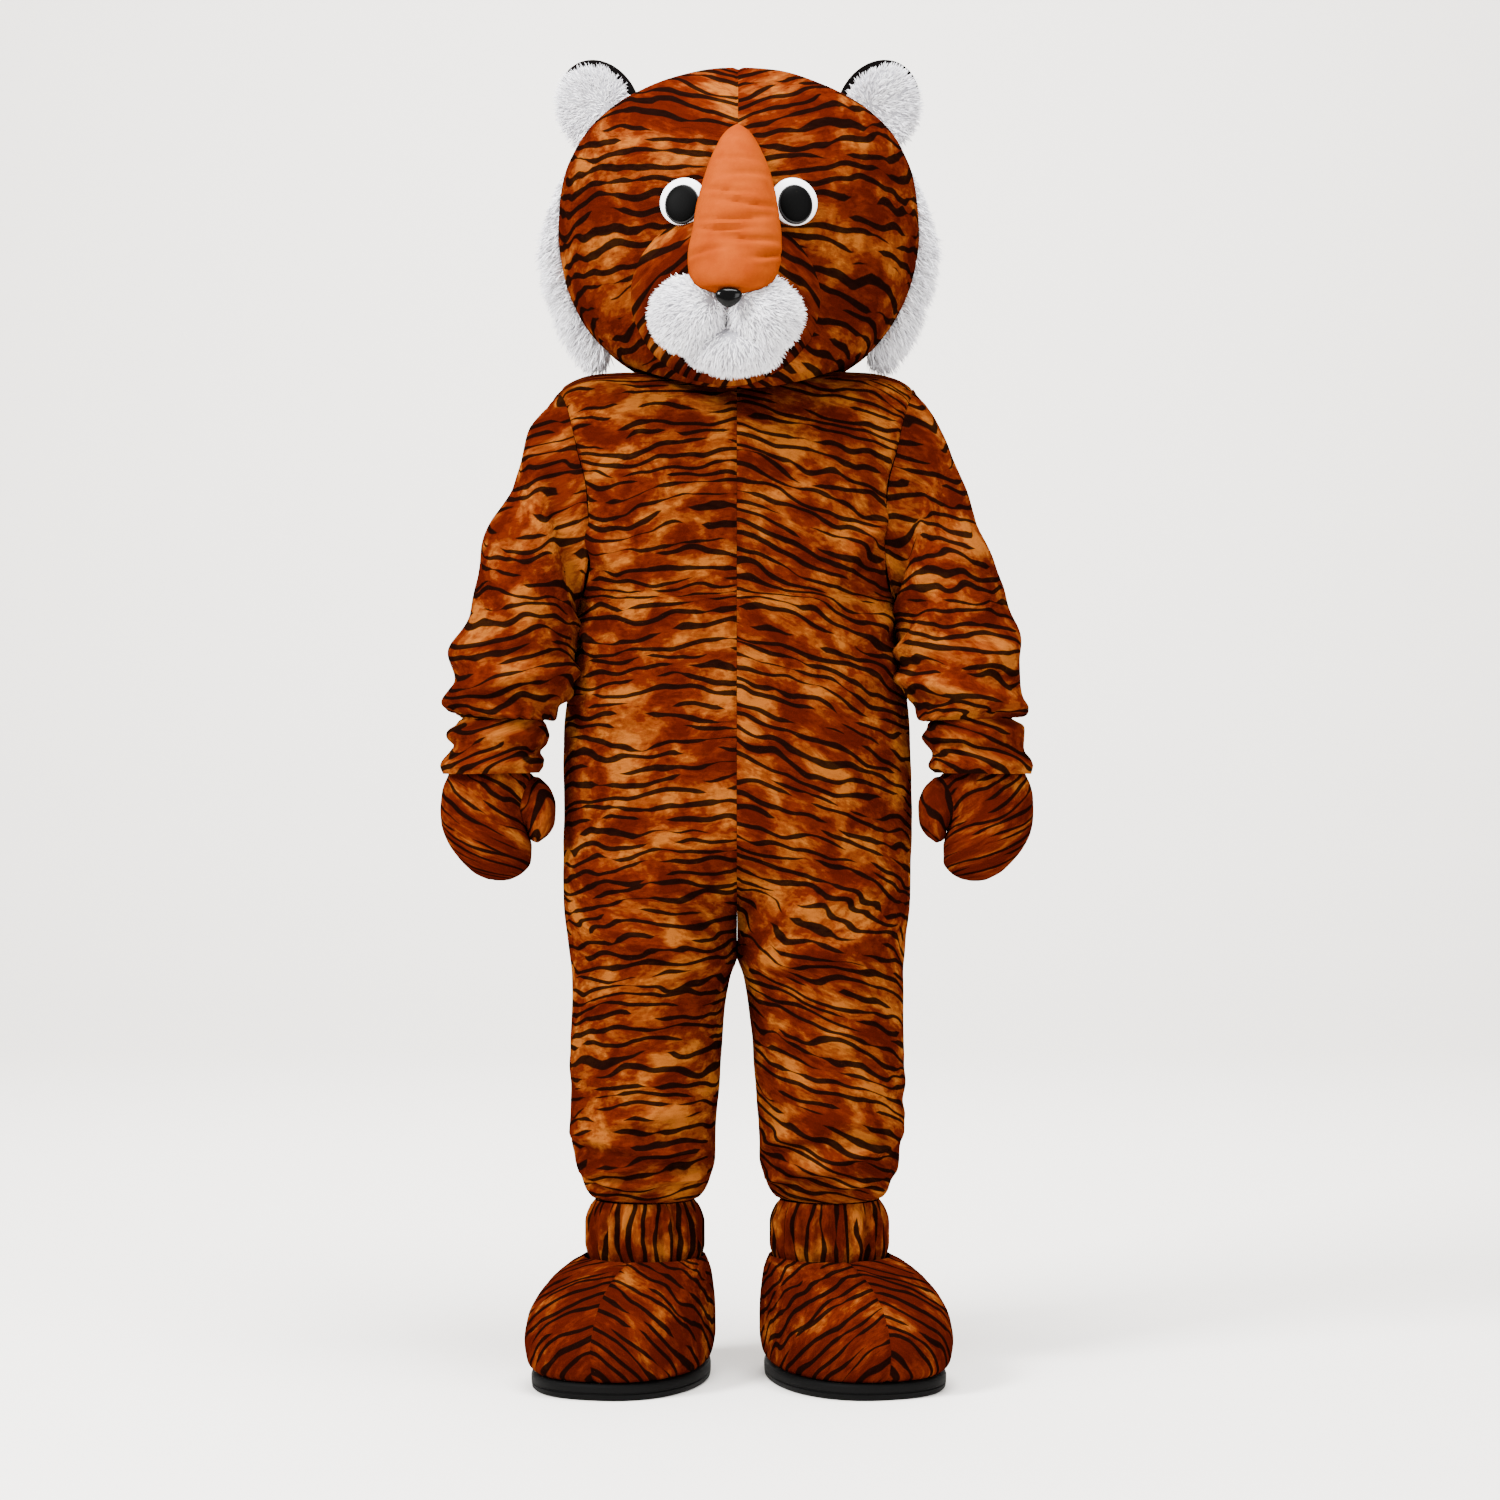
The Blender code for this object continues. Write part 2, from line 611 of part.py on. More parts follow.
def ruff_rings():
    """The reach of the cheek fur: a crescent standing off the side of the head."""
    rings = []
    for row in RUFF_ROWS:
        width = head_outline(row.height)[0]
        above = head_outline(row.height + RUFF_LEAN)[0]
        below = head_outline(row.height - RUFF_LEAN)[0]
        outward = Vector((2.0 * RUFF_LEAN, 0.0, below - above)).normalized()
        root = Vector((width, RUFF_BACK, row.height)) - outward * RUFF_ROOT
        half = 0.5 * (row.reach + RUFF_ROOT)
        ring = []
        for step in range(RUFF_POINTS):
            angle = 2.0 * math.pi * step / RUFF_POINTS
            point = root + outward * (half + half * math.cos(angle))
            ring.append(point + Vector((0.0, row.half_depth * math.sin(angle), 0.0)))
        rings.append(ring)
    return rings


def bridge_rings(extra=0.0):
    rings = []
    for row in BRIDGE_ROWS:
        ring = []
        for step in range(BRIDGE_POINTS):
            angle = 2.0 * math.pi * step / BRIDGE_POINTS
            ring.append(Vector((row.sideways + (row.half_width + extra) * math.cos(angle),
                                -row.forward - (row.half_depth + extra) * math.sin(angle),
                                row.height)))
        rings.append(ring)
    lift = Vector((0.0, 0.0, extra))
    rings[0] = [point + lift for point in rings[0]]
    rings[-1] = [point - lift for point in rings[-1]]
    return rings


def nose_shape():
    rings = []
    for step in NOSE_STEPS:
        ring = []
        for index in range(NOSE_POINTS):
            angle = 2.0 * math.pi * index / NOSE_POINTS
            width = 1.0 - NOSE_TAPER * (1.0 - math.sin(angle))
            x = NOSE_HALF_WIDTH * math.cos(angle) * width
            z = NOSE_HALF_HEIGHT * math.sin(angle)
            ring.append(Vector((NOSE_X + x * step.size, -NOSE_FORWARD - step.forward,
                                NOSE_HEIGHT + z * step.size)))
        rings.append(ring)
    return loft(rings)


def ear_shape(dome, facing, outward, size):
    """Half of a cupped ear: a flat seam face and a domed outside, turned out from the head."""
    shape = bmesh.new()
    bmesh.ops.create_uvsphere(shape, u_segments=BALL_POINTS[0], v_segments=BALL_POINTS[1],
                              radius=1.0)
    bmesh.ops.rotate(shape, matrix=Matrix.Rotation(0.5 * math.pi, 3, "X"), verts=shape.verts)
    trim(shape, Vector((0.0, 0.0, 0.0)), Vector((0.0, facing, 0.0)))
    radius = EAR_RADIUS * size
    bmesh.ops.scale(shape, vec=(radius, dome, radius * EAR_STRETCH), verts=shape.verts)
    bmesh.ops.translate(shape, vec=(outward, facing * SEAM_PULL, 0.0), verts=shape.verts)
    return shape


def grown(radii):
    """The radii of the space kept clear around a ball."""
    return tuple(radius + CLEAR for radius in radii)


def build_muzzle(space, parent, materials):
    """The muzzle from the face outwards; gives the cutters that keep its parts apart."""
    pad = add_object("muzzle_pad", ball(PAD_CENTRE, PAD_RADII, points=PAD_POINTS),
                     materials["plush"], parent)
    cut(pad, space)
    pad_space = make_cutter("pad_space", ball(PAD_CENTRE, grown(PAD_RADII), points=PAD_POINTS),
                            parent)

    lobe_spaces = []
    for side, name in SIDES:
        centre = (MUZZLE_X + side * LOBE_SIDEWAYS, -LOBE_FORWARD, LOBE_HEIGHT)
        split = Vector((MUZZLE_X + side * SEAM_PULL, 0.0, 0.0))
        lobe = trim(ball(centre, LOBE_RADII), split, Vector((side, 0.0, 0.0)))
        item = add_object("muzzle_" + name, lobe, materials["fur"], parent)
        cut(item, space, pad_space)
        lobe_spaces.append(make_cutter("lobe_space_" + name, ball(centre, grown(LOBE_RADII)),
                                       parent))

    chin = add_object("chin", ball(CHIN_CENTRE, CHIN_RADII), materials["fur"], parent)
    cut(chin, space, pad_space, *lobe_spaces)

    bridge = add_object("nose_bridge", loft(bridge_rings()), materials["orange"], parent)
    cut(bridge, space, pad_space, *lobe_spaces)
    bridge_space = make_cutter("bridge_space", loft(bridge_rings(CLEAR)), parent)

    nose = add_object("nose_tip", nose_shape(), materials["gloss"], parent)
    cut(nose, bridge_space, *lobe_spaces)
    return pad_space, bridge_space


def build_eye(side, name, spaces, parent, materials):
    """A domed white, and a domed pupil standing on it a little below its centre."""
    place, direction = face_place(EYE_SIDEWAYS + side * EYE_X, EYE_HEIGHT)
    turn = direction.to_track_quat("Z", "Y").to_matrix()
    radii = (EYE_RADIUS, EYE_RADIUS, EYE_DOME)
    white = add_object("eye_white_" + name, ball(place, radii, turn, EYE_POINTS),
                       materials["eye"], parent)
    cut(white, *spaces)
    white_space = make_cutter("white_space_" + name, ball(place, grown(radii), turn, EYE_POINTS),
                              parent)
    centre = place + direction * PUPIL_LIFT - Vector((0.0, 0.0, PUPIL_DROP))
    radii = (PUPIL_WIDTH, PUPIL_LENGTH, PUPIL_DOME)
    shape = trim(ball(centre, radii, turn, EYE_POINTS), centre, direction)
    pupil = add_object("eye_pupil_" + name, shape, materials["pupil"], parent)
    cut(pupil, *spaces, white_space)


def build_ear(side, name, space, parent, materials):
    turn = Matrix.Translation((side * EAR_X, EAR_Y, EAR_HEIGHT))
    turn = turn @ Matrix.Rotation(side * EAR_FLARE, 4, "Y")
    turn = turn @ Matrix.Rotation(side * EAR_TURN, 4, "Z")
    front = ear_shape(EAR_FRONT_DOME, -1.0, side * EAR_FRONT_SHIFT, EAR_FRONT_SIZE)
    back = ear_shape(EAR_BACK_DOME, 1.0, 0.0, 1.0)
    for label, shape, kind in (("front", front, "fur"), ("back", back, "black")):
        bmesh.ops.transform(shape, matrix=turn, verts=shape.verts)
        item = add_object("ear_{}_{}".format(label, name), shape, materials[kind], parent)
        cut(item, space)


def build_ruff(side, name, space, parent, materials):
    rings = [[Vector((side * point.x, point.y, point.z)) for point in ring]
             for ring in ruff_rings()]
    item = add_object("ruff_" + name, loft(rings), materials["fur"], parent)
    cut(item, space)


def build_head_details(cloths, parent, materials):
    space = head_cutter(cloths, parent)
    pad_space, bridge_space = build_muzzle(space, parent, materials)
    for side, name in SIDES:
        build_eye(side, name, (space, pad_space, bridge_space), parent, materials)
        build_ear(side, name, space, parent, materials)
        build_ruff(side, name, space, parent, materials)


# Boots

def boot_outline(row, turn, swell=0.0):
    """A point of the boot's outline; turn is 0 at the toe and 1 at the heel."""
    angle = math.pi * turn
    half = 0.5 * (row.toe + row.heel)
    middle = 0.5 * (row.heel - row.toe)
    slimming = 1.0 - row.narrow * 0.5 * (1.0 - math.cos(angle))
    x = row.width * math.sin(angle) ** BOOT_SQUARENESS * slimming
    return (x * (1.0 + swell * row.narrow), middle - half * math.cos(angle), row.height)


def boot_half(swell):
    turns = [column / BOOT_COLUMNS for column in range(BOOT_COLUMNS + 1)]
    points = np.array([[boot_outline(row, turn, swell) for turn in turns] for row in BOOT_ROWS])
    return Cloth(points, False, False, False)


def boot_cloths(side):
    """The outer and inner halves of a boot; side is 1 for the left foot and -1 for the right."""
    outer = boot_half(OUTER_SWELL)
    inner = boot_half(0.0)
    if side > 0.0:
        return {"outer": outer, "inner": mirrored(inner)}
    return {"outer": mirrored(outer), "inner": inner}


def sole_shape(side):
    base = BOOT_ROWS[0]
    steps = [(0.0, 0.0), (SOLE_ROUND, SOLE_MARGIN),
             (SOLE_HEIGHT - SOLE_ROUND, SOLE_MARGIN + SOLE_LEAN),
             (SOLE_HEIGHT, SOLE_MARGIN - SOLE_LEAN)]
    rings = []
    for height, margin in steps:
        row = BootRow(height, base.width + margin, base.toe + margin, base.heel + margin,
                      base.narrow)
        turns = [2.0 * step / SOLE_POINTS for step in range(SOLE_POINTS // 2 + 1)]
        outer = [boot_outline(row, turn, OUTER_SWELL) for turn in turns]
        inner = [boot_outline(row, turn) for turn in turns[-2:0:-1]]
        rings.append([(side * x, y, z) for x, y, z in outer] +
                     [(-side * x, y, z) for x, y, z in inner])
    return loft(rings)


def collar_cloth():
    count = COLLAR_PLEATS * COLUMNS_PER_PLEAT
    rings = []
    for row in COLLAR_ROWS:
        ring = []
        for step in range(count):
            angle = 2.0 * math.pi * step / count
            radius = row.radius + row.gather * math.cos(COLLAR_PLEATS * angle)
            ring.append((radius * math.cos(angle), radius * math.sin(angle), row.height))
        rings.append(ring)
    return Cloth(np.array(rings), True, False, False)


def build_boots(parent, materials):
    collar = collar_cloth()
    collar_normals = shared_normals({"collar": collar})
    for side, name in SIDES:
        foot = add_empty("foot_" + name, (side * ANKLE_X, 0.0, 0.0), side * TOE_OUT[name], parent)
        halves = boot_cloths(side)
        normals = shared_normals(halves)
        for label, half in halves.items():
            add_object("boot_{}_{}".format(label, name), wall_shape(half, normals, PLUSH_WALL),
                       materials["dark_plush"], foot)
        add_object("boot_sole_" + name, sole_shape(side), materials["rubber"], foot)
        add_object("boot_collar_" + name, wall_shape(collar, collar_normals, PLUSH_WALL),
                   materials["plush"], foot)


def build_cloths(cloths, wall_of, material_of, parent):
    normals = shared_normals(cloths)
    for name, cloth in cloths.items():
        add_object(name, wall_shape(cloth, normals, wall_of(name)), material_of(name), parent)


def main():
    clear_scene()
    materials = {
        "plush": make_material("tiger plush", (0.24, 0.06, 0.015), 0.85),
        "dark_plush": make_material("dark tiger plush", (0.15, 0.03, 0.008), 0.85),
        "orange": make_material("orange plush", (0.62, 0.16, 0.02), 0.85),
        "fur": make_material("white fur", (0.80, 0.79, 0.82), 0.90),
        "black": make_material("black plush", (0.015, 0.012, 0.012), 0.85),
        "eye": make_material("eye white", (0.78, 0.78, 0.80), 0.35),
        "pupil": make_material("pupil black", (0.006, 0.006, 0.006), 0.40),
        "gloss": make_material("nose black", (0.008, 0.008, 0.008), 0.12),
        "rubber": make_material("sole rubber", (0.010, 0.010, 0.010), 0.60),
    }
    make_material("cutter", (0.5, 0.5, 0.5), 0.5)
    ground = add_empty("ground", (0.0, 0.0, -SHOULDER_HEIGHT), 0.0, None)
    build_cloths(suit_cloths(), lambda name: CUFF_WALL if name.startswith("cuff") else PLUSH_WALL,
                 lambda name: materials["plush"], ground)
    build_cloths(mitt_cloths(), lambda name: PLUSH_WALL, lambda name: materials["dark_plush"], ground)
    head = add_empty("head_place", (HEAD_X, 0.0, 0.0), 0.0, ground)
    cloths = head_cloths()
    build_cloths(cloths, lambda name: HEAD_WALL, lambda name: materials["plush"], head)
    build_head_details(cloths, head, materials)
    build_boots(ground, materials)


main()
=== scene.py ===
"""Tiger mascot costume: striped plush suit, mitts, boots and a foam-backed head, as worn.

Each operator makes one kind of piece: its form comes from a table of sections, its creases from a
table of folds, and its cloth from two surfaces a wall apart. Heights in the tables are above the
ground. The front faces -Y, and the wearer's left is +X.
"""
import math
from collections import namedtuple

import bmesh
import bpy
import numpy as np
from mathutils import Matrix, Vector, noise


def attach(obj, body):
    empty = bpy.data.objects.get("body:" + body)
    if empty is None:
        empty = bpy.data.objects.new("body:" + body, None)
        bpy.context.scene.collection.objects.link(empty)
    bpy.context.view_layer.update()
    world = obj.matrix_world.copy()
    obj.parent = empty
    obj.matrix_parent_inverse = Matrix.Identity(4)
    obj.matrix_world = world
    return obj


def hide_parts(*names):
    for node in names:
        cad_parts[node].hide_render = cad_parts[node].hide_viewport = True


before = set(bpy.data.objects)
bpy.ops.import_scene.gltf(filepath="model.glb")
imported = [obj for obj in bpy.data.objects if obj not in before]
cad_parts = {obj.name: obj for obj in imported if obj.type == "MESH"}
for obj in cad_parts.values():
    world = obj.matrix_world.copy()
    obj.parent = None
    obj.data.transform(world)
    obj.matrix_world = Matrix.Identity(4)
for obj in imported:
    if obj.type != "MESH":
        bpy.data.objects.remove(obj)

bl_info = {
    "name": "Tiger Mascot Costume",
    "version": (1, 0, 0),
    "blender": (4, 5, 0),
    "location": "View3D > Sidebar > Costume",
    "description": "Builds a tiger mascot costume and its studio",
    "category": "Add Mesh",
}

SHOULDER_HEIGHT = 1.455   # ground to the neck base, which is the world origin
SEAM_PULL = 0.0002        # each piece stops this far from the seam line
NECK_HALF_WIDTH = 0.095
NECK_HALF_DEPTH = 0.070
SIDES = ((1.0, "left"), (-1.0, "right"))   # the wearer's, and the way each lies from the middle

BodyRow = namedtuple("BodyRow", "middle side inner outer front back edge rise")
# middle and side: heights at the centre and at the outer edge. inner and outer: distances from the
# centre plane. front and back: depths. edge: how far the armhole lies from the side line.
# rise: 0 where the row is a torso section, 1 where it is a separate leg.
BODY_ROWS = [
    BodyRow(0.256, 0.256, 0.0600, 0.2140, 0.078, 0.078, 0.0, 1.0),
    BodyRow(0.272, 0.272, 0.0470, 0.2250, 0.090, 0.090, 0.0, 1.0),
    BodyRow(0.290, 0.290, 0.0400, 0.2310, 0.098, 0.098, 0.0, 1.0),
    BodyRow(0.315, 0.315, 0.0330, 0.2410, 0.107, 0.106, 0.0, 1.0),
    BodyRow(0.345, 0.345, 0.0320, 0.2430, 0.110, 0.110, 0.0, 1.0),
    BodyRow(0.400, 0.400, 0.0280, 0.2450, 0.114, 0.114, 0.0, 1.0),
    BodyRow(0.460, 0.460, 0.0230, 0.2460, 0.118, 0.119, 0.0, 1.0),
    BodyRow(0.530, 0.530, 0.0175, 0.2450, 0.126, 0.130, 0.0, 1.0),
    BodyRow(0.585, 0.585, 0.0100, 0.2450, 0.140, 0.144, 0.0, 1.0),
    BodyRow(0.616, 0.616, 0.0000, 0.2475, 0.151, 0.154, 0.0, 1.0),
    BodyRow(0.640, 0.640, 0.0000, 0.2500, 0.159, 0.160, 0.0, 0.93),
    BodyRow(0.672, 0.672, 0.0000, 0.2535, 0.168, 0.166, 0.0, 0.72),
    BodyRow(0.710, 0.710, 0.0000, 0.2555, 0.176, 0.169, 0.0, 0.42),
    BodyRow(0.750, 0.750, 0.0000, 0.2570, 0.181, 0.170, 0.0, 0.16),
    BodyRow(0.800, 0.800, 0.0000, 0.2580, 0.184, 0.170, 0.0, 0.0),
    BodyRow(0.870, 0.870, 0.0000, 0.2580, 0.185, 0.168, 0.0, 0.0),
    BodyRow(0.940, 0.940, 0.0000, 0.2560, 0.183, 0.165, 0.0, 0.0),
    BodyRow(1.005, 1.005, 0.0000, 0.2490, 0.179, 0.163, 0.0, 0.0),
    BodyRow(1.070, 1.070, 0.0000, 0.2400, 0.176, 0.162, 0.0, 0.0),
    BodyRow(1.130, 1.130, 0.0000, 0.2320, 0.174, 0.162, 0.0, 0.0),
    BodyRow(1.148, 1.148, 0.0000, 0.2360, 0.174, 0.162, 0.050, 0.0),
    BodyRow(1.185, 1.185, 0.0000, 0.2470, 0.174, 0.164, 0.080, 0.0),
    BodyRow(1.240, 1.240, 0.0000, 0.2530, 0.173, 0.165, 0.090, 0.0),
    BodyRow(1.300, 1.300, 0.0000, 0.2580, 0.169, 0.163, 0.088, 0.0),
    BodyRow(1.350, 1.350, 0.0000, 0.2660, 0.160, 0.155, 0.078, 0.0),
    BodyRow(1.398, 1.390, 0.0000, 0.2710, 0.140, 0.138, 0.062, 0.0),
    BodyRow(1.436, 1.414, 0.0000, 0.2735, 0.108, 0.108, 0.042, 0.0),
    BodyRow(1.464, 1.432, 0.0000, 0.2740, 0.066, 0.066, 0.020, 0.0),
    BodyRow(1.478, 1.438, 0.0000, 0.2745, 0.000, 0.000, 0.0, 0.0),
]
FIRST_ARMHOLE_ROW = 19
LAST_ROW = len(BODY_ROWS) - 1
SHOULDER_SLOPE = 9         # the higher, the later the shoulder falls away

TubeRow = namedtuple("TubeRow", "in_x in_z out_x out_z mid_y depth")
# Each ring of a tube is given by its innermost and outermost points, seen from the front, by how
# far forward or back its middle lies, and by its half depth.
SLEEVE_ROWS = [
    TubeRow(0.2310, 1.120, 0.308, 1.378, -0.004, 0.0890),
    TubeRow(0.2325, 1.104, 0.343, 1.289, -0.020, 0.0880),
    TubeRow(0.2345, 1.082, 0.372, 1.200, -0.036, 0.0860),
    TubeRow(0.2360, 1.056, 0.395, 1.125, -0.050, 0.0840),
    TubeRow(0.2395, 1.030, 0.411, 1.062, -0.060, 0.0830),
    TubeRow(0.2450, 1.003, 0.4175, 1.015, -0.066, 0.0815),
    TubeRow(0.2570, 0.979, 0.4135, 0.982, -0.070, 0.0740),
    TubeRow(0.2800, 0.962, 0.404, 0.965, -0.071, 0.0650),
]
CUFF_ROWS = [
    TubeRow(0.2800, 0.962, 0.404, 0.965, -0.071, 0.0650),
    TubeRow(0.2765, 0.950, 0.412, 0.955, -0.071, 0.0705),
    TubeRow(0.2780, 0.930, 0.420, 0.935, -0.071, 0.0740),
    TubeRow(0.2835, 0.913, 0.4215, 0.916, -0.071, 0.0745),
    TubeRow(0.2830, 0.897, 0.432, 0.895, -0.071, 0.0775),
    TubeRow(0.2890, 0.886, 0.430, 0.884, -0.071, 0.0755),
]

HandRow = namedtuple("HandRow", "height inner outer depth hole")
# hole: half width of the gap that the thumb is sewn into, on the inner edge.
HAND_ROWS = [
    HandRow(0.908, 0.308, 0.414, 0.050, 0.0),
    HandRow(0.885, 0.301, 0.4215, 0.056, 0.0),
    HandRow(0.868, 0.300, 0.4290, 0.060, 0.024),
    HandRow(0.852, 0.303, 0.4325, 0.062, 0.031),
    HandRow(0.834, 0.307, 0.4335, 0.062, 0.030),
    HandRow(0.816, 0.309, 0.4325, 0.061, 0.020),
    HandRow(0.800, 0.306, 0.4290, 0.060, 0.0),
    HandRow(0.778, 0.300, 0.4190, 0.056, 0.0),
    HandRow(0.756, 0.301, 0.4020, 0.047, 0.0),
    HandRow(0.738, 0.313, 0.3820, 0.034, 0.0),
    HandRow(0.726, 0.336, 0.3580, 0.012, 0.0),
]
THUMB_FROM = 1             # the hand's rows between which the thumb is sewn in
THUMB_TO = 6
HAND_FORWARD = -0.071

ThumbRow = namedtuple("ThumbRow", "low_x low_z high_x high_z depth")
THUMB_ROWS = [
    ThumbRow(0.3060, 0.7970, 0.2880, 0.8790, 0.033),
    ThumbRow(0.3050, 0.7920, 0.2720, 0.8620, 0.034),
    ThumbRow(0.3020, 0.7880, 0.2645, 0.8380, 0.033),
    ThumbRow(0.2970, 0.7850, 0.2660, 0.8130, 0.028),
    ThumbRow(0.2915, 0.7835, 0.2775, 0.7930, 0.013),
    ThumbRow(0.2845, 0.7883, 0.2845, 0.7883, 0.000),
]

HeadRow = namedtuple("HeadRow", "middle side outer front back")
HEAD_ROWS = [
    HeadRow(1.440, 1.482, 0.156, 0.150, 0.150),
    HeadRow(1.456, 1.493, 0.177, 0.186, 0.180),
    HeadRow(1.490, 1.515, 0.203, 0.216, 0.210),
    HeadRow(1.545, 1.555, 0.233, 0.238, 0.236),
    HeadRow(1.610, 1.612, 0.256, 0.249, 0.250),
    HeadRow(1.680, 1.680, 0.267, 0.251, 0.256),
    HeadRow(1.750, 1.750, 0.261, 0.243, 0.252),
    HeadRow(1.810, 1.810, 0.239, 0.222, 0.236),
    HeadRow(1.858, 1.858, 0.199, 0.186, 0.200),
    HeadRow(1.895, 1.895, 0.138, 0.130, 0.142),
    HeadRow(1.918, 1.918, 0.071, 0.066, 0.072),
    HeadRow(1.926, 1.926, 0.000, 0.000, 0.000),
]
HEAD_X = 0.002

BootRow = namedtuple("BootRow", "height width toe heel narrow")
# narrow: how much slimmer the heel is than the toe.
BOOT_ROWS = [
    BootRow(0.0245, 0.123, 0.262, 0.108, 0.20),
    BootRow(0.042, 0.132, 0.275, 0.115, 0.20),
    BootRow(0.070, 0.136, 0.279, 0.118, 0.20),
    BootRow(0.100, 0.134, 0.268, 0.118, 0.19),
    BootRow(0.128, 0.126, 0.240, 0.115, 0.16),
    BootRow(0.150, 0.114, 0.196, 0.110, 0.11),
    BootRow(0.165, 0.100, 0.142, 0.101, 0.05),
    BootRow(0.173, 0.089, 0.095, 0.093, 0.00),
]
OUTER_SWELL = 0.60         # per unit of slimming, how much the outer half is fuller
BOOT_SQUARENESS = 0.85     # under 1, the outline is fuller than an ellipse
ANKLE_X = 0.137
TOE_OUT = {"right": math.radians(14.5), "left": math.radians(17.0)}

CollarRow = namedtuple("CollarRow", "height radius gather")
COLLAR_ROWS = [
    CollarRow(0.1450, 0.0770, 0.000),
    CollarRow(0.1650, 0.0800, 0.002),
    CollarRow(0.1900, 0.0850, 0.003),
    CollarRow(0.2200, 0.0850, 0.003),
    CollarRow(0.2420, 0.0800, 0.002),
    CollarRow(0.2550, 0.0735, 0.000),
]
COLLAR_PLEATS = 23

RuffRow = namedtuple("RuffRow", "height reach half_depth")
RUFF_ROWS = [
    RuffRow(1.800, 0.006, 0.012),
    RuffRow(1.765, 0.015, 0.022),
    RuffRow(1.710, 0.027, 0.030),
    RuffRow(1.650, 0.037, 0.036),
    RuffRow(1.590, 0.038, 0.038),
    RuffRow(1.542, 0.046, 0.040),
    RuffRow(1.516, 0.048, 0.036),
    RuffRow(1.506, 0.034, 0.022),
]
RUFF_BACK = 0.018
RUFF_ROOT = 0.012
RUFF_LEAN = 0.012          # height step over which the head's slope under the fur is taken

BridgeRow = namedtuple("BridgeRow", "height forward half_width half_depth sideways")
BRIDGE_ROWS = [
    BridgeRow(1.811, 0.216, 0.000, 0.000, 0.000),
    BridgeRow(1.797, 0.222, 0.018, 0.018, 0.000),
    BridgeRow(1.767, 0.234, 0.034, 0.034, 0.000),
    BridgeRow(1.731, 0.248, 0.0475, 0.044, 0.000),
    BridgeRow(1.690, 0.266, 0.057, 0.050, -0.001),
    BridgeRow(1.650, 0.286, 0.0625, 0.053, -0.002),
    BridgeRow(1.615, 0.305, 0.0655, 0.054, -0.004),
    BridgeRow(1.585, 0.320, 0.062, 0.050, -0.006),
    BridgeRow(1.563, 0.331, 0.047, 0.038, -0.008),
    BridgeRow(1.549, 0.338, 0.000, 0.000, -0.010),
]

Fold = namedtuple("Fold", "around along reach rise width depth")
# around, along: the fold's middle, in the cloth's own measure. reach: half its length around.
# rise: how much higher its far end lies than its middle. width: half its thickness, in metres.
# depth: how far it stands out, in metres, or how deep it sinks where negative.

Cut = namedtuple("Cut", "width length area held")
# Width, length and area of a piece laid flat, in metres, and how the costume holds it.


# Smooth sections

def slopes(values):
    """Slopes at the rows of a table, such that a curve through them doesn't overshoot."""
    steps = np.diff(values, axis=0)
    before = steps[:-1]
    after = steps[1:]
    same = before * after > 0.0
    total = np.where(same, before + after, 1.0)
    inner = np.where(same, 2.0 * before * after / total, 0.0)
    return np.concatenate([steps[:1], inner, steps[-1:]])


def rows_at(table, where):
    """The table's columns at fractional rows."""
    values = np.array(table, dtype=float)
    low = np.clip(np.floor(where).astype(int), 0, len(values) - 2)
    t = (np.asarray(where) - low)[:, None]
    slope = slopes(values)
    start = (1.0 + 2.0 * t) * (1.0 - t) ** 2 * values[low] + t * (1.0 - t) ** 2 * slope[low]
    end = t * t * (3.0 - 2.0 * t) * values[low + 1] + t * t * (t - 1.0) * slope[low + 1]
    result = start + end
    return type(table[0])(*(result[:, [index]] for index in range(values.shape[1])))


def clustered(count, share=0.0):
    """Values from 0 to 1, closer together at both ends by share."""
    steps = np.linspace(0.0, 1.0, count)
    return steps - share * np.sin(2.0 * math.pi * steps) / (2.0 * math.pi)


def spaced(shape, first, last, count, share=0.0):
    """Row positions that are evenly spaced along the cloth, and the cloth's length."""
    fine = np.linspace(first, last, 400)
    points = shape(fine, np.array([0.3, 0.5, 0.7]))
    step = np.linalg.norm(np.diff(points, axis=0), axis=2).mean(axis=1)
    run = np.concatenate([[0.0], np.cumsum(step)])
    places = clustered(count, share) * run[-1]
    return np.interp(places, run, fine), places


def across_length(points):
    """Distance along each row from its first point."""
    step = np.linalg.norm(np.diff(points, axis=1), axis=2)
    return np.concatenate([np.zeros((len(points), 1)), np.cumsum(step, axis=1)], axis=1)


def ring_points(low, high, depth, turns):
    """Rings that start at their outermost points and run round by the front."""
    angle = 2.0 * math.pi * turns[None, :, None]
    middle = 0.5 * (low + high)
    points = middle + (high - middle) * np.cos(angle)
    points[:, :, 1] -= depth * np.sin(angle[:, :, 0])
    return points


def grid_normals(points, closed=False):
    """Unit normals of a grid of points, turned away from the grid's middle line."""
    if closed:
        wrapped = np.concatenate([points[:, -2:-1], points, points[:, 1:2]], axis=1)
        across = (wrapped[:, 2:] - wrapped[:, :-2]) * 0.5
    else:
        across = np.gradient(points, axis=1)
    along = np.gradient(points, axis=0)
    normal = np.cross(across, along)
    size = np.linalg.norm(normal, axis=2, keepdims=True)
    mean = normal.mean(axis=(0, 1))
    unit = np.where(size > 1e-12, normal / np.maximum(size, 1e-12), mean)
    return unit / np.maximum(np.linalg.norm(unit, axis=2, keepdims=True), 1e-9)


def outward(points, normals, centre):
    """Turns normals to point away from a centre, on the whole."""
    agree = ((points - centre) * normals).sum(axis=2).mean()
    return normals if agree > 0.0 else -normals


# Creases

DIP_DEPTH = 0.38           # of the hollow below a ridge, as a share of the ridge
DIP_PLACE = 1.7            # how many half thicknesses the hollow lies below the ridge


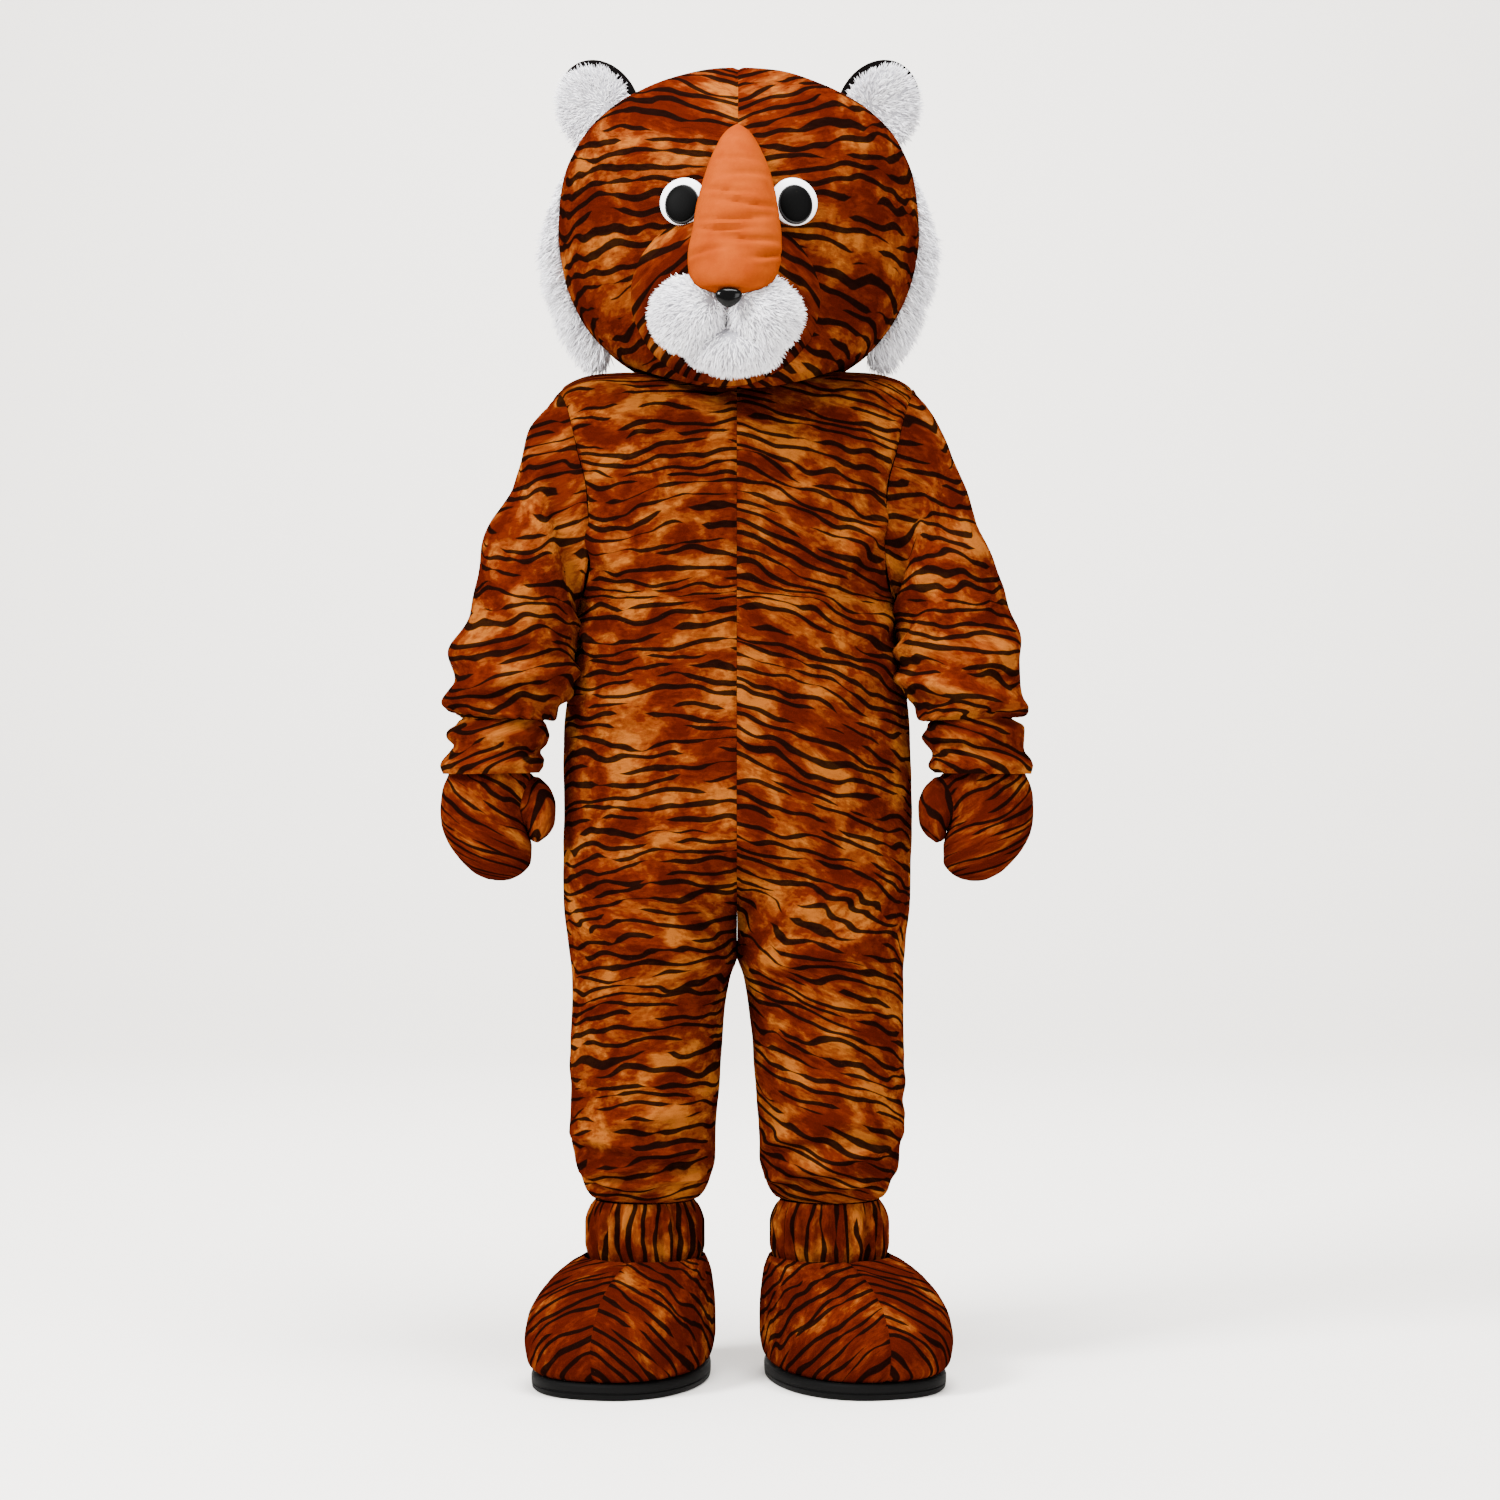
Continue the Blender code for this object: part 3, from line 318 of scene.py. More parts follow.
def fold_profile(offset):
    """A soft ridge with a shallow dip below it."""
    return np.exp(-offset ** 2) - DIP_DEPTH * np.exp(-(offset + DIP_PLACE) ** 2)


def fold_heights(folds, around, along, period=0.0):
    """How far a table of folds lifts each point; period is a whole turn where the cloth is a tube."""
    total = np.zeros(np.broadcast(around, along).shape)
    for fold in folds:
        offset = around - fold.around
        if period > 0.0:
            offset = (offset + 0.5 * period) % period - 0.5 * period
        t = offset / fold.reach
        window = np.where(np.abs(t) < 1.0, (1.0 - np.clip(t, -1.0, 1.0) ** 2) ** 2, 0.0)
        wander = 0.35 * fold.width * np.sin(3.1 * t + 37.0 * fold.along)
        place = (along - fold.along - fold.rise * t - wander) / fold.width
        total = total + fold.depth * window * fold_profile(place)
    return total


def lumps(points, size, seed):
    """Smooth noise from about -1 to 1 at each point, with features of a size."""
    flat = points.reshape(-1, 3) / size + seed
    values = [noise.noise(Vector(point)) for point in flat]
    return np.array(values).reshape(points.shape[:2])


def groove(distance, depth, width):
    """A seam pulls the cloth in beside it."""
    return -depth * np.exp(-(distance / width) ** 2)


# Meshes

def grid_shape(points, prints, normals, closed=False):
    """A sheet through a grid of points that faces outwards, with its print's measure as a UV map."""
    rows, columns = points.shape[:2]
    shape = bmesh.new()
    bmesh.ops.create_grid(shape, x_segments=columns - 1, y_segments=rows - 1, size=0.5)
    layer = shape.loops.layers.uv.new("print")
    places = {}
    for vert in shape.verts:
        column = int(round((vert.co.x + 0.5) * (columns - 1)))
        row = int(round((vert.co.y + 0.5) * (rows - 1)))
        places[vert] = (row, column)
        vert.co = points[row, column]
    shape.normal_update()
    agree = 0.0
    for face in shape.faces:
        agree += face.normal.dot(Vector(normals[places[face.verts[0]]]))
        for loop in face.loops:
            loop[layer].uv = prints[places[loop.vert]]
    if closed:
        bmesh.ops.remove_doubles(shape, verts=shape.verts, dist=0.00002)
    if agree < 0.0:
        bmesh.ops.reverse_faces(shape, faces=shape.faces)
    return shape


def thicken(shape, wall):
    """Gives a sheet an inner face a wall below its outer face, and rims between."""
    shape.normal_update()
    normals = {vert.co.copy().freeze(): vert.normal.copy() for vert in shape.verts}
    made = bmesh.ops.extrude_face_region(shape, geom=shape.faces[:], use_keep_orig=True)
    for item in made["geom"]:
        if isinstance(item, bmesh.types.BMVert):
            item.co -= normals[item.co.copy().freeze()] * wall
    bmesh.ops.recalc_face_normals(shape, faces=shape.faces)


def finish_object(name, shape, material, angle=50.0):
    mesh = bpy.data.meshes.new(name)
    shape.to_mesh(mesh)
    shape.free()
    mesh.shade_smooth()
    mesh.set_sharp_from_angle(angle=math.radians(angle))
    mesh.materials.append(material)
    item = bpy.data.objects.new(name, mesh)
    bpy.context.scene.collection.objects.link(item)
    return item


def lowered(points, shift_x=0.0):
    """From heights above the ground to the frame, whose origin is at the shoulders."""
    return np.asarray(points) + np.array([shift_x, 0.0, -SHOULDER_HEIGHT])


def enter(item, node):
    """Puts a piece on the body, in its CAD node's stead."""
    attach(item, "root")
    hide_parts(node)
    return item


def cloth_piece(name, points, normals, prints, wall, material, closed=False):
    """Makes and enters a piece of cloth."""
    shape = grid_shape(lowered(points), prints, normals, closed)
    thicken(shape, wall)
    item = finish_object("cloth_" + name, shape, material)
    enter(item, name)
    return item


# Suit

def neck_starts(row, depth):
    """Angle along torso sections at which the neck hole's edge is met; 0 where it isn't."""
    ratio = (NECK_HALF_WIDTH / row.outer) ** 2
    deep = np.clip(depth, 1e-5, NECK_HALF_DEPTH)
    y_squared = (1.0 - ratio) / (1.0 / deep ** 2 - ratio / NECK_HALF_DEPTH ** 2)
    x_squared = NECK_HALF_WIDTH ** 2 * np.clip(1.0 - y_squared / NECK_HALF_DEPTH ** 2, 0.0, 1.0)
    return np.arcsin(np.sqrt(x_squared) / row.outer)


def body_points(where, turns, facing):
    """The left half's sections; turn is 0 at the centre seam and 1 at the side."""
    row = rows_at(BODY_ROWS, where)
    depth = row.front if facing < 0 else row.back
    turn = turns[None, :]
    start = neck_starts(row, depth)
    end = np.arccos(np.clip(row.edge / np.maximum(depth, 1e-5), 0.0, 1.0))
    angle = start + (end - start) * turn
    x = row.outer * np.sin(angle)
    y = facing * depth * np.cos(angle)
    middle = 0.5 * (row.inner + row.outer)
    half = 0.5 * (row.outer - row.inner)
    x = x + (middle - half * np.cos(math.pi * turn) - x) * row.rise
    y = y + (facing * depth * np.sin(math.pi * turn) - y) * row.rise
    height = row.middle + (row.side - row.middle) * (x / row.outer) ** SHOULDER_SLOPE
    return np.stack([x + SEAM_PULL, y, height + 0.0 * turn], axis=2)


BODY_FOLDS = [
    Fold(0.80, 1.215, 0.55, 0.085, 0.020, 0.0075),
    Fold(0.86, 1.120, 0.50, 0.070, 0.017, 0.0060),
    Fold(0.62, 1.030, 0.42, 0.040, 0.022, 0.0040),
    Fold(0.35, 1.330, 0.40, 0.020, 0.026, -0.0040),
    Fold(-0.82, 1.200, 0.50, -0.075, 0.019, 0.0065),
    Fold(-0.88, 1.105, 0.46, -0.060, 0.016, 0.0060),
    Fold(-0.55, 1.300, 0.40, -0.020, 0.026, -0.0040),
    Fold(-0.60, 0.985, 0.45, -0.030, 0.024, 0.0035),
    Fold(0.45, 0.700, 0.48, 0.050, 0.019, 0.0050),
    Fold(0.50, 0.630, 0.50, 0.065, 0.016, 0.0050),
    Fold(-0.45, 0.715, 0.50, -0.055, 0.020, 0.0050),
    Fold(-0.50, 0.640, 0.48, -0.060, 0.015, 0.0055),
    Fold(0.55, 0.500, 0.60, -0.020, 0.020, 0.0035),
    Fold(-0.55, 0.520, 0.60, 0.025, 0.020, 0.0035),
    Fold(0.60, 0.425, 0.70, 0.022, 0.017, 0.0045),
    Fold(-0.60, 0.440, 0.70, -0.018, 0.018, 0.0040),
    Fold(0.62, 0.376, 0.46, -0.022, 0.014, 0.0100),
    Fold(0.30, 0.352, 0.36, 0.016, 0.012, 0.0110),
    Fold(0.66, 0.334, 0.34, 0.014, 0.011, 0.0120),
    Fold(0.42, 0.312, 0.34, -0.012, 0.010, 0.0120),
    Fold(0.20, 0.296, 0.26, 0.008, 0.009, 0.0100),
    Fold(0.62, 0.292, 0.30, 0.009, 0.009, 0.0110),
    Fold(-0.50, 0.380, 0.46, 0.020, 0.015, 0.0110),
    Fold(-0.70, 0.350, 0.34, -0.016, 0.012, 0.0120),
    Fold(-0.34, 0.334, 0.36, -0.014, 0.011, 0.0120),
    Fold(-0.62, 0.314, 0.34, 0.012, 0.010, 0.0120),
    Fold(-0.28, 0.300, 0.26, 0.008, 0.009, 0.0110),
    Fold(-0.66, 0.290, 0.30, -0.008, 0.009, 0.0100),
    Fold(1.30, 1.180, 0.50, -0.060, 0.020, 0.0060),
    Fold(-1.25, 1.190, 0.50, 0.065, 0.020, 0.0060),
    Fold(1.45, 0.930, 0.50, 0.025, 0.024, 0.0045),
    Fold(-1.50, 0.955, 0.50, -0.020, 0.024, 0.0045),
    Fold(1.55, 0.660, 0.42, 0.055, 0.019, 0.0060),
    Fold(-1.55, 0.650, 0.42, -0.055, 0.018, 0.0060),
    Fold(1.40, 0.480, 0.55, 0.020, 0.018, 0.0050),
    Fold(-1.45, 0.500, 0.55, -0.020, 0.018, 0.0050),
    Fold(1.40, 0.385, 0.60, 0.010, 0.015, 0.0080),
    Fold(1.50, 0.335, 0.55, -0.008, 0.012, 0.0080),
    Fold(1.35, 0.300, 0.60, 0.006, 0.010, 0.0065),
    Fold(-1.45, 0.380, 0.60, -0.010, 0.015, 0.0080),
    Fold(-1.40, 0.330, 0.60, 0.008, 0.012, 0.0080),
    Fold(-1.50, 0.297, 0.55, -0.006, 0.010, 0.0065),
]
BODY_SLANTS = {"front_left": 0.30, "front_right": -0.05, "back_left": -0.16, "back_right": 0.10}
BODY_COLUMNS = 65
BODY_GRID_ROWS = 175


def relief(points, size, depth, seed):
    """Soft unevenness of stuffed or hanging plush, large and small."""
    return depth * (lumps(points, size, seed) + 0.4 * lumps(points, 0.35 * size, seed + 7.0))


def across_start(where, facing):
    """How far from the centre plane each section of a body panel starts."""
    return np.abs(body_points(where, np.array([0.0]), facing)[:, 0, 0]) - SEAM_PULL


SHOULDER_ROUND = 0.020     # the shoulder's top faces up this near to its seam


def body_panel(sizes, side, facing):
    """Points, outward normals and print measure of one body panel."""
    def shape(where, turns):
        return body_points(where, turns, facing)
    where, run = spaced(shape, 0, LAST_ROW, BODY_GRID_ROWS, 0.35)
    turns = clustered(BODY_COLUMNS, 0.55)
    points = shape(where, turns)
    points[:, :, 0] *= side
    centre = np.array([side * 0.10, 0.0, 0.0]) + points * np.array([0.0, 0.0, 1.0])
    normals = outward(points, grid_normals(points), centre)
    top = np.exp(-((run[-1] - run) / SHOULDER_ROUND) ** 2)[:, None, None]
    normals = normals * (1.0 - top) + np.array([0.0, 0.0, 1.0]) * top
    normals = normals / np.linalg.norm(normals, axis=2, keepdims=True)
    across = across_length(points)
    width = across[:, -1:]
    around = turns[None, :] if facing < 0 else 2.0 - turns[None, :]
    heights = fold_heights(BODY_FOLDS, side * around, points[:, :, 2])
    rise = rows_at(BODY_ROWS, where).rise
    calm = 1.0 - np.exp(-(across / 0.035) ** 2) * np.where(rise > 0.9, 1.0, 0.0)
    lift = heights * calm * sizes.fold_strength
    lift = lift + relief(points, 0.11, 0.0028, 3.0)
    for distance in (across, width - across, run[-1] - run[:, None], run[:, None] * 1.5):
        lift = lift + groove(distance, sizes.seam_depth, sizes.seam_width)
    points = points + normals * lift[:, :, None]
    joined = (rows_at(BODY_ROWS, where).inner[:, 0] < 1e-4) & (across_start(where, facing) < 1e-3)
    points[joined, 0, 0] = side * SEAM_PULL
    points[-1, :, 1] = facing * SEAM_PULL
    prints = np.stack([side * across, run[:, None] + 0.0 * across], axis=2)
    return points, normals, prints


def slanted(prints, slant, seed):
    """Turns and shifts a print on its cloth, as its piece was laid when cut."""
    u = prints[:, :, 0]
    v = prints[:, :, 1]
    return np.stack([u + seed * 1.37, v + slant * u + seed * 0.83], axis=2)


# Sleeves and cuffs

SLEEVE_FOLDS = [
    Fold(0.30, 0.060, 0.30, 0.040, 0.020, 0.0080),
    Fold(0.18, 0.120, 0.34, -0.045, 0.018, 0.0085),
    Fold(0.42, 0.165, 0.28, 0.030, 0.016, 0.0080),
    Fold(0.10, 0.205, 0.30, 0.025, 0.016, 0.0090),
    Fold(0.33, 0.240, 0.34, -0.030, 0.015, 0.0105),
    Fold(0.08, 0.278, 0.30, -0.018, 0.013, 0.0100),
    Fold(0.42, 0.292, 0.28, 0.016, 0.012, 0.0100),
    Fold(0.22, 0.318, 0.34, 0.014, 0.012, 0.0110),
    Fold(0.45, 0.345, 0.26, -0.010, 0.010, 0.0090),
    Fold(0.12, 0.352, 0.30, -0.008, 0.010, 0.0095),
    Fold(0.30, 0.378, 0.34, 0.006, 0.008, 0.0080),
    Fold(0.72, 0.080, 0.30, -0.040, 0.020, 0.0080),
    Fold(0.85, 0.150, 0.30, 0.030, 0.018, 0.0085),
    Fold(0.66, 0.205, 0.28, -0.025, 0.016, 0.0090),
    Fold(0.80, 0.255, 0.32, 0.022, 0.014, 0.0100),
    Fold(0.62, 0.300, 0.26, -0.014, 0.012, 0.0100),
    Fold(0.84, 0.326, 0.30, -0.010, 0.011, 0.0100),
    Fold(0.68, 0.362, 0.30, 0.008, 0.009, 0.0085),
]
SLEEVE_COLUMNS = 97
SLEEVE_GRID_ROWS = 110
CUFF_FOLDS = [
    Fold(0.25, 0.020, 0.60, 0.010, 0.0100, 0.0045),
    Fold(0.70, 0.022, 0.50, -0.008, 0.0100, 0.0040),
    Fold(0.30, 0.041, 0.26, -0.012, 0.0060, -0.0040),
    Fold(0.80, 0.046, 0.30, 0.010, 0.0070, -0.0035),
    Fold(0.15, 0.058, 0.40, 0.008, 0.0095, 0.0035),
    Fold(0.60, 0.064, 0.40, -0.008, 0.0095, 0.0035),
]
CUFF_GRID_ROWS = 44
GATHERS = 19               # puckers where a sleeve is sewn to its cuff


def armhole_points(turns):
    """The armhole's edge, from the shoulder down the front and up the back."""
    span = LAST_ROW - FIRST_ARMHOLE_ROW
    down = LAST_ROW - 2.0 * span * np.clip(turns, 0.0, 0.5)
    up = FIRST_ARMHOLE_ROW + 2.0 * span * np.clip(turns - 0.5, 0.0, 0.5)
    edge = np.array([1.0])
    front = body_points(down, edge, -1.0)[:, 0]
    back = body_points(up, edge, 1.0)[:, 0]
    return np.where((turns <= 0.5)[:, None], front, back)


def tube_points(table, where, turns):
    row = rows_at(table, where)
    low = np.stack([row.in_x, row.mid_y, row.in_z], axis=2)
    high = np.stack([row.out_x, row.mid_y, row.out_z], axis=2)
    return ring_points(low, high, row.depth, turns)


def sleeve_points(where, turns):
    """Row 0 is the armhole, and the rows of the sleeve's table follow it."""
    tube = tube_points(SLEEVE_ROWS, np.maximum(where - 1.0, 0.0), turns)
    second = tube_points(SLEEVE_ROWS, np.array([0.0, 1.0]), turns)
    step = (second[1] - second[0])[None, :, :]
    t = np.clip(where, 0.0, 1.0)[:, None, None]
    start = armhole_points(turns)[None, :, :]
    end = second[:1]
    chord = end - start
    curve = start + chord * t + (step - chord) * (t * t * (t - 1.0))
    return np.where(where[:, None, None] < 1.0, curve, tube)


PRINT_FALL = 0.35          # how steeply a sleeve's print falls away from the body
PRINT_TURN = 0.06          # how far the print climbs once round the arm
JOIN_CALM = 0.010          # folds die out this near to a seam, so that both its pieces meet


def tube_piece(sizes, shape, last, rows, folds, side, twist, seams, lump):
    """Points, normals, print measure and length along the cloth of a sleeve or a cuff."""
    turns = np.linspace(0.0, 1.0, SLEEVE_COLUMNS)
    where, run = spaced(shape, 0, last, rows, 0.45)
    points = shape(where, turns)
    points[:, -1] = points[:, 0]
    normals = grid_normals(points, True)
    middle = points[:, :-1].mean(axis=1, keepdims=True)
    normals = outward(points, normals, middle)
    along = run[:, None]
    ring = turns[None, :] if side > 0 else (turns[None, :] + twist)
    lift = fold_heights(folds, ring, along, 1.0) * sizes.fold_strength
    uneven = relief(points, 0.09, lump, 11.0 + side)
    uneven[:, -1] = uneven[:, 0]
    lift = lift + uneven
    inward = points - middle
    inward = inward / np.linalg.norm(inward, axis=2, keepdims=True)
    for distance, level_with_cuff in seams(along, run[-1]):
        lift = lift * (1.0 - np.exp(-(distance / JOIN_CALM) ** 2))
        dip = groove(distance, sizes.seam_depth, sizes.seam_width) + 0.0 * lift
        points = points + (inward if level_with_cuff else normals) * dip[:, :, None]
    points = points + normals * lift[:, :, None]
    points[:, :, 0] *= side
    normals[:, :, 0] *= side
    level = points[:, :, 2] + PRINT_FALL * np.abs(points[:, :, 0])
    across = across_length(points)
    behind = np.where(turns > 0.5, 1.0, 0.0)
    across = across - behind * across[:, -1:]
    prints = np.stack([side * across, level + PRINT_TURN * (turns - behind)], axis=2)
    return points, normals, prints, along


def puckers(points, normals, along, start, end, depth, seed):
    """Short gathers that run out from a seam along the cloth."""
    turns = np.linspace(0.0, 1.0, points.shape[1])[None, :]
    t = np.clip((along - start) / (end - start), 0.0, 1.0)
    fade = (1.0 - t) ** 2 * (1.0 - np.exp(-(t / 0.12) ** 2))
    phase = 2.0 * math.pi * GATHERS * turns
    wave = np.sin(phase + 1.1 * np.sin(2.0 * math.pi * 3.0 * turns + seed))
    size = 0.65 + 0.35 * np.sin(2.0 * math.pi * 5.0 * turns + 2.0 * seed)
    return points + normals * (depth * wave * size * fade)[:, :, None]


# Mitts

HAND_COLUMNS = 45
HAND_GRID_ROWS = 62
THUMB_COLUMNS = 49
THUMB_GRID_ROWS = 34
HAND_LAST = len(HAND_ROWS) - 1
THUMB_CALM = 0.004         # the hand and the thumb keep to their seam this near to it
MITT_SLANT = 0.55          # how steeply the print falls across a mitt


def hand_points(where, turns, facing):
    row = rows_at(HAND_ROWS, where)
    hole = np.clip(row.hole, 0.0, None)
    end = math.pi - np.arcsin(np.clip(hole / row.depth, 0.0, 1.0))
    angle = end * turns[None, :]
    middle = 0.5 * (row.inner + row.outer)
    half = 0.5 * (row.outer - row.inner)
    x = middle + half * np.cos(angle)
    y = HAND_FORWARD + facing * row.depth * np.sin(angle)
    return np.stack([x, y, row.height + 0.0 * angle], axis=2)


def thumb_points(where, turns):
    """Row 0 is the gap in the hand's inner edge; the thumb closes at its last row."""
    span = THUMB_TO - THUMB_FROM
    down = THUMB_FROM + 2.0 * span * np.clip(turns, 0.0, 0.5)
    up = THUMB_TO - 2.0 * span * np.clip(turns - 0.5, 0.0, 0.5)
    edge = np.array([1.0])
    back = hand_points(down, edge, -1.0)[:, 0]
    palm = hand_points(up, edge, 1.0)[:, 0]
    start = np.where((turns <= 0.5)[:, None], back, palm)[None, :, :]
    row = rows_at(THUMB_ROWS, np.maximum(where - 1.0, 0.0))
    y = HAND_FORWARD + 0.0 * row.low_x
    low = np.stack([row.low_x, y, row.low_z], axis=2)
    high = np.stack([row.high_x, y, row.high_z], axis=2)
    tube = ring_points(low, high, row.depth, turns)
    first = rows_at(THUMB_ROWS, np.array([0.0]))
    y = HAND_FORWARD + 0.0 * first.low_x
    low = np.stack([first.low_x, y, first.low_z], axis=2)
    high = np.stack([first.high_x, y, first.high_z], axis=2)
    end = ring_points(low, high, first.depth, turns)
    t = np.clip(where, 0.0, 1.0)[:, None, None]
    return np.where(where[:, None, None] < 1.0, start + (end - start) * t, tube)


def mitt_half(sizes, side, facing):
    """The back or the palm of a mitt, open where the thumb is sewn in."""
    def shape(where, turns):
        return hand_points(where, turns, facing)
    where, run = spaced(shape, 0, HAND_LAST, HAND_GRID_ROWS, 0.30)
    turns = clustered(HAND_COLUMNS, 0.5)
    points = shape(where, turns)
    centre = np.array([0.366, HAND_FORWARD, 0.0]) + points * np.array([0.0, 0.0, 1.0])
    normals = outward(points, grid_normals(points), centre)
    across = across_length(points)
    lift = relief(points, 0.05, 0.0016, 5.0 + side)
    for distance in (across, across[:, -1:] - across, run[-1] - run[:, None]):
        lift = lift + groove(distance, sizes.seam_depth * 0.8, sizes.seam_width)
    holed = rows_at(HAND_ROWS, where).hole > 1e-4
    lift = lift * np.where(holed, 1.0 - np.exp(-((across[:, -1:] - across) / THUMB_CALM) ** 2), 1.0)
    points = points + normals * lift[:, :, None]
    points[:, :, 0] *= side
    normals[:, :, 0] *= side
    prints = np.stack([across, run[:, None] - MITT_SLANT * across], axis=2)
    return points, normals, prints


def mitt_thumb(sizes, side):
    """A thumb that grows out of the gap in the hand's inner edge and closes at its tip."""
    turns = np.linspace(0.0, 1.0, THUMB_COLUMNS)
    where, run = spaced(thumb_points, 0, len(THUMB_ROWS), THUMB_GRID_ROWS, 0.25)
    points = thumb_points(where, turns)
    points[:, -1] = points[:, 0]
    points[-1] = points[-1].mean(axis=0)
    middle = points[:, :-1].mean(axis=1, keepdims=True)
    normals = outward(points, grid_normals(points, True), middle)
    along = run[:, None] + 0.0 * turns[None, :]
    lift = groove(np.abs(along - THUMB_CALM), sizes.seam_depth, sizes.seam_width)
    lift = lift * (1.0 - np.exp(-(along / THUMB_CALM) ** 2))
    points = points + normals * lift[:, :, None]
    points[:, :, 0] *= side
    normals[:, :, 0] *= side
    prints = np.stack([across_length(points), run[:, None] + 0.0 * lift], axis=2)
    return points, normals, prints


# Head

HEAD_COLUMNS = 61
HEAD_GRID_ROWS = 84
HEAD_LAST = len(HEAD_ROWS) - 1
Dart = namedtuple("Dart", "x height to_x to_height")
# The ends of a short seam above each brow, seen from the front.
DARTS = [
    Dart(-0.132, 1.868, -0.104, 1.818),
    Dart(0.128, 1.872, 0.098, 1.822),
]
DART_WIDTH = 0.0035
FACE_HEIGHT = 1.665        # the height that the head's print spreads out from
FACE_SPREAD = 2.3          # how fast its lines part towards the sides
FACE_STRETCH = 1.35
FACE_STEP = 0.004          # over which the face's direction is taken


def head_points(where, turns, facing):
    row = rows_at(HEAD_ROWS, where)
    depth = row.front if facing < 0 else row.back
    angle = 0.5 * math.pi * turns[None, :]
    height = row.middle + (row.side - row.middle) * np.sin(angle) ** 2
    x = row.outer * np.sin(angle)
    y = facing * depth * np.cos(angle)
    return np.stack([x, y, height], axis=2)


def dart_relief(points, depth):
    """Narrow grooves along the darts, on the front of the head only."""
    total = np.zeros(points.shape[:2])
    place = points[:, :, [0, 2]]
    for dart in DARTS:
        start = np.array([dart.x, dart.height])
        end = np.array([dart.to_x, dart.to_height])
        step = end - start
        t = np.clip(((place - start) * step).sum(axis=2) / (step * step).sum(), 0.0, 1.0)
        near = np.linalg.norm(place - (start + t[:, :, None] * step), axis=2)
        total = total - depth * np.exp(-(near / DART_WIDTH) ** 2)
    return total


def head_panel(sizes, side, facing):
    """One of the head's four gores, with its darts."""
    def shape(where, turns):
        return head_points(where, turns, facing)
    where, run = spaced(shape, 0, HEAD_LAST, HEAD_GRID_ROWS, 0.15)
    turns = clustered(HEAD_COLUMNS, 0.4)
    points = shape(where, turns)
    points[:, :, 0] *= side
    centre = np.array([0.0, 0.0, 1.66])
    normals = outward(points, grid_normals(points), centre)
    normals[-1] = np.array([0.0, 0.0, 1.0])
    across = across_length(points)
    lift = relief(points, 0.12, 0.0018, 21.0)
    lift = lift + groove(across, sizes.seam_depth, sizes.seam_width)
    lift = lift + groove(across[:, -1:] - across, sizes.seam_depth, sizes.seam_width)
    if facing < 0:
        lift = lift + dart_relief(points, sizes.seam_depth)
    lift[-1] = lift[-1].mean()
    points = points + normals * lift[:, :, None]
    points[:, :, 0] += HEAD_X
    prints = np.stack([side * across, run[:, None] + 0.0 * across], axis=2)
    spread = 1.0 + FACE_SPREAD * np.abs(points[:, :, 0])
    rise = points[:, :, 2] - FACE_HEIGHT
    prints[:, :, 1] = rise / spread * FACE_STRETCH
    return points, normals, prints


def head_outline(height):
    """Half width and face depth of the head at a height."""
    sides = [row.side for row in HEAD_ROWS]
    middles = [row.middle for row in HEAD_ROWS]
    width = float(np.interp(height, sides, [row.outer for row in HEAD_ROWS]))
    depth = float(np.interp(height, middles, [row.front for row in HEAD_ROWS]))
    return width, depth


def face_place(x, height):
    """Place and outward direction on the face."""
    def surface(px, pz):
        width, depth = head_outline(pz)
        return Vector((px, -depth * math.sqrt(max(0.0, 1.0 - (px / width) ** 2)), pz))
    across = surface(x + FACE_STEP, height) - surface(x - FACE_STEP, height)
    upward = surface(x, height + FACE_STEP) - surface(x, height - FACE_STEP)
    return surface(x, height), across.cross(upward).normalized()


# Stuffed pieces

Ball = namedtuple("Ball", "x y height rx ry rz")
PAD = Ball(-0.0165, -0.190, 1.568, 0.137, 0.110, 0.128)
LOBE = Ball(0.0500, -0.296, 1.5285, 0.0510, 0.052, 0.0500)
CHIN = Ball(-0.006, -0.284, 1.482, 0.066, 0.047, 0.032)
MUZZLE_X = -0.0165
NOSE_X = -0.0125
NOSE_Y = -0.352
NOSE_HEIGHT = 1.5445
NOSE_HALF_WIDTH = 0.0235
NOSE_HALF_HEIGHT = 0.0138
NOSE_DEPTH = 0.019
EYE_X = 0.0780
EYE_HEIGHT = 1.695
EYE_RADIUS = 0.0345
EYE_DOME = 0.010
EYE_SIDEWAYS = 0.001
PUPIL_WIDTH = 0.0258
PUPIL_LENGTH = 0.0288
PUPIL_DROP = 0.0050
PUPIL_DOME = 0.0095
PUPIL_LIFT = 0.0045
EAR_X = 0.2070
EAR_Y = 0.020
EAR_HEIGHT = 1.872
EAR_RADIUS = 0.0640
EAR_FLARE = math.radians(32.0)
EAR_TURN = math.radians(24.0)
EAR_STRETCH = 1.16
EAR_FRONT_DOME = 0.016
EAR_BACK_DOME = 0.014
EAR_FRONT_SIZE = 0.90
EAR_FRONT_SHIFT = 0.0065
BRIDGE_COLUMNS = 72
BRIDGE_GRID_ROWS = 110
BRIDGE_FOLDS = [
    Fold(0.26, 1.752, 0.20, 0.004, 0.0045, -0.0028),
    Fold(0.22, 1.728, 0.18, -0.003, 0.0050, -0.0034),
    Fold(0.30, 1.703, 0.17, 0.003, 0.0045, -0.0038),
    Fold(0.20, 1.684, 0.20, 0.004, 0.0050, -0.0042),
    Fold(0.27, 1.662, 0.22, -0.003, 0.0055, -0.0050),
    Fold(0.31, 1.646, 0.16, 0.004, 0.0045, -0.0046),
    Fold(0.18, 1.630, 0.18, 0.005, 0.0055, -0.0050),
    Fold(0.10, 1.606, 0.14, -0.004, 0.0050, -0.0042),
    Fold(0.38, 1.612, 0.14, -0.004, 0.0050, -0.0038),
]


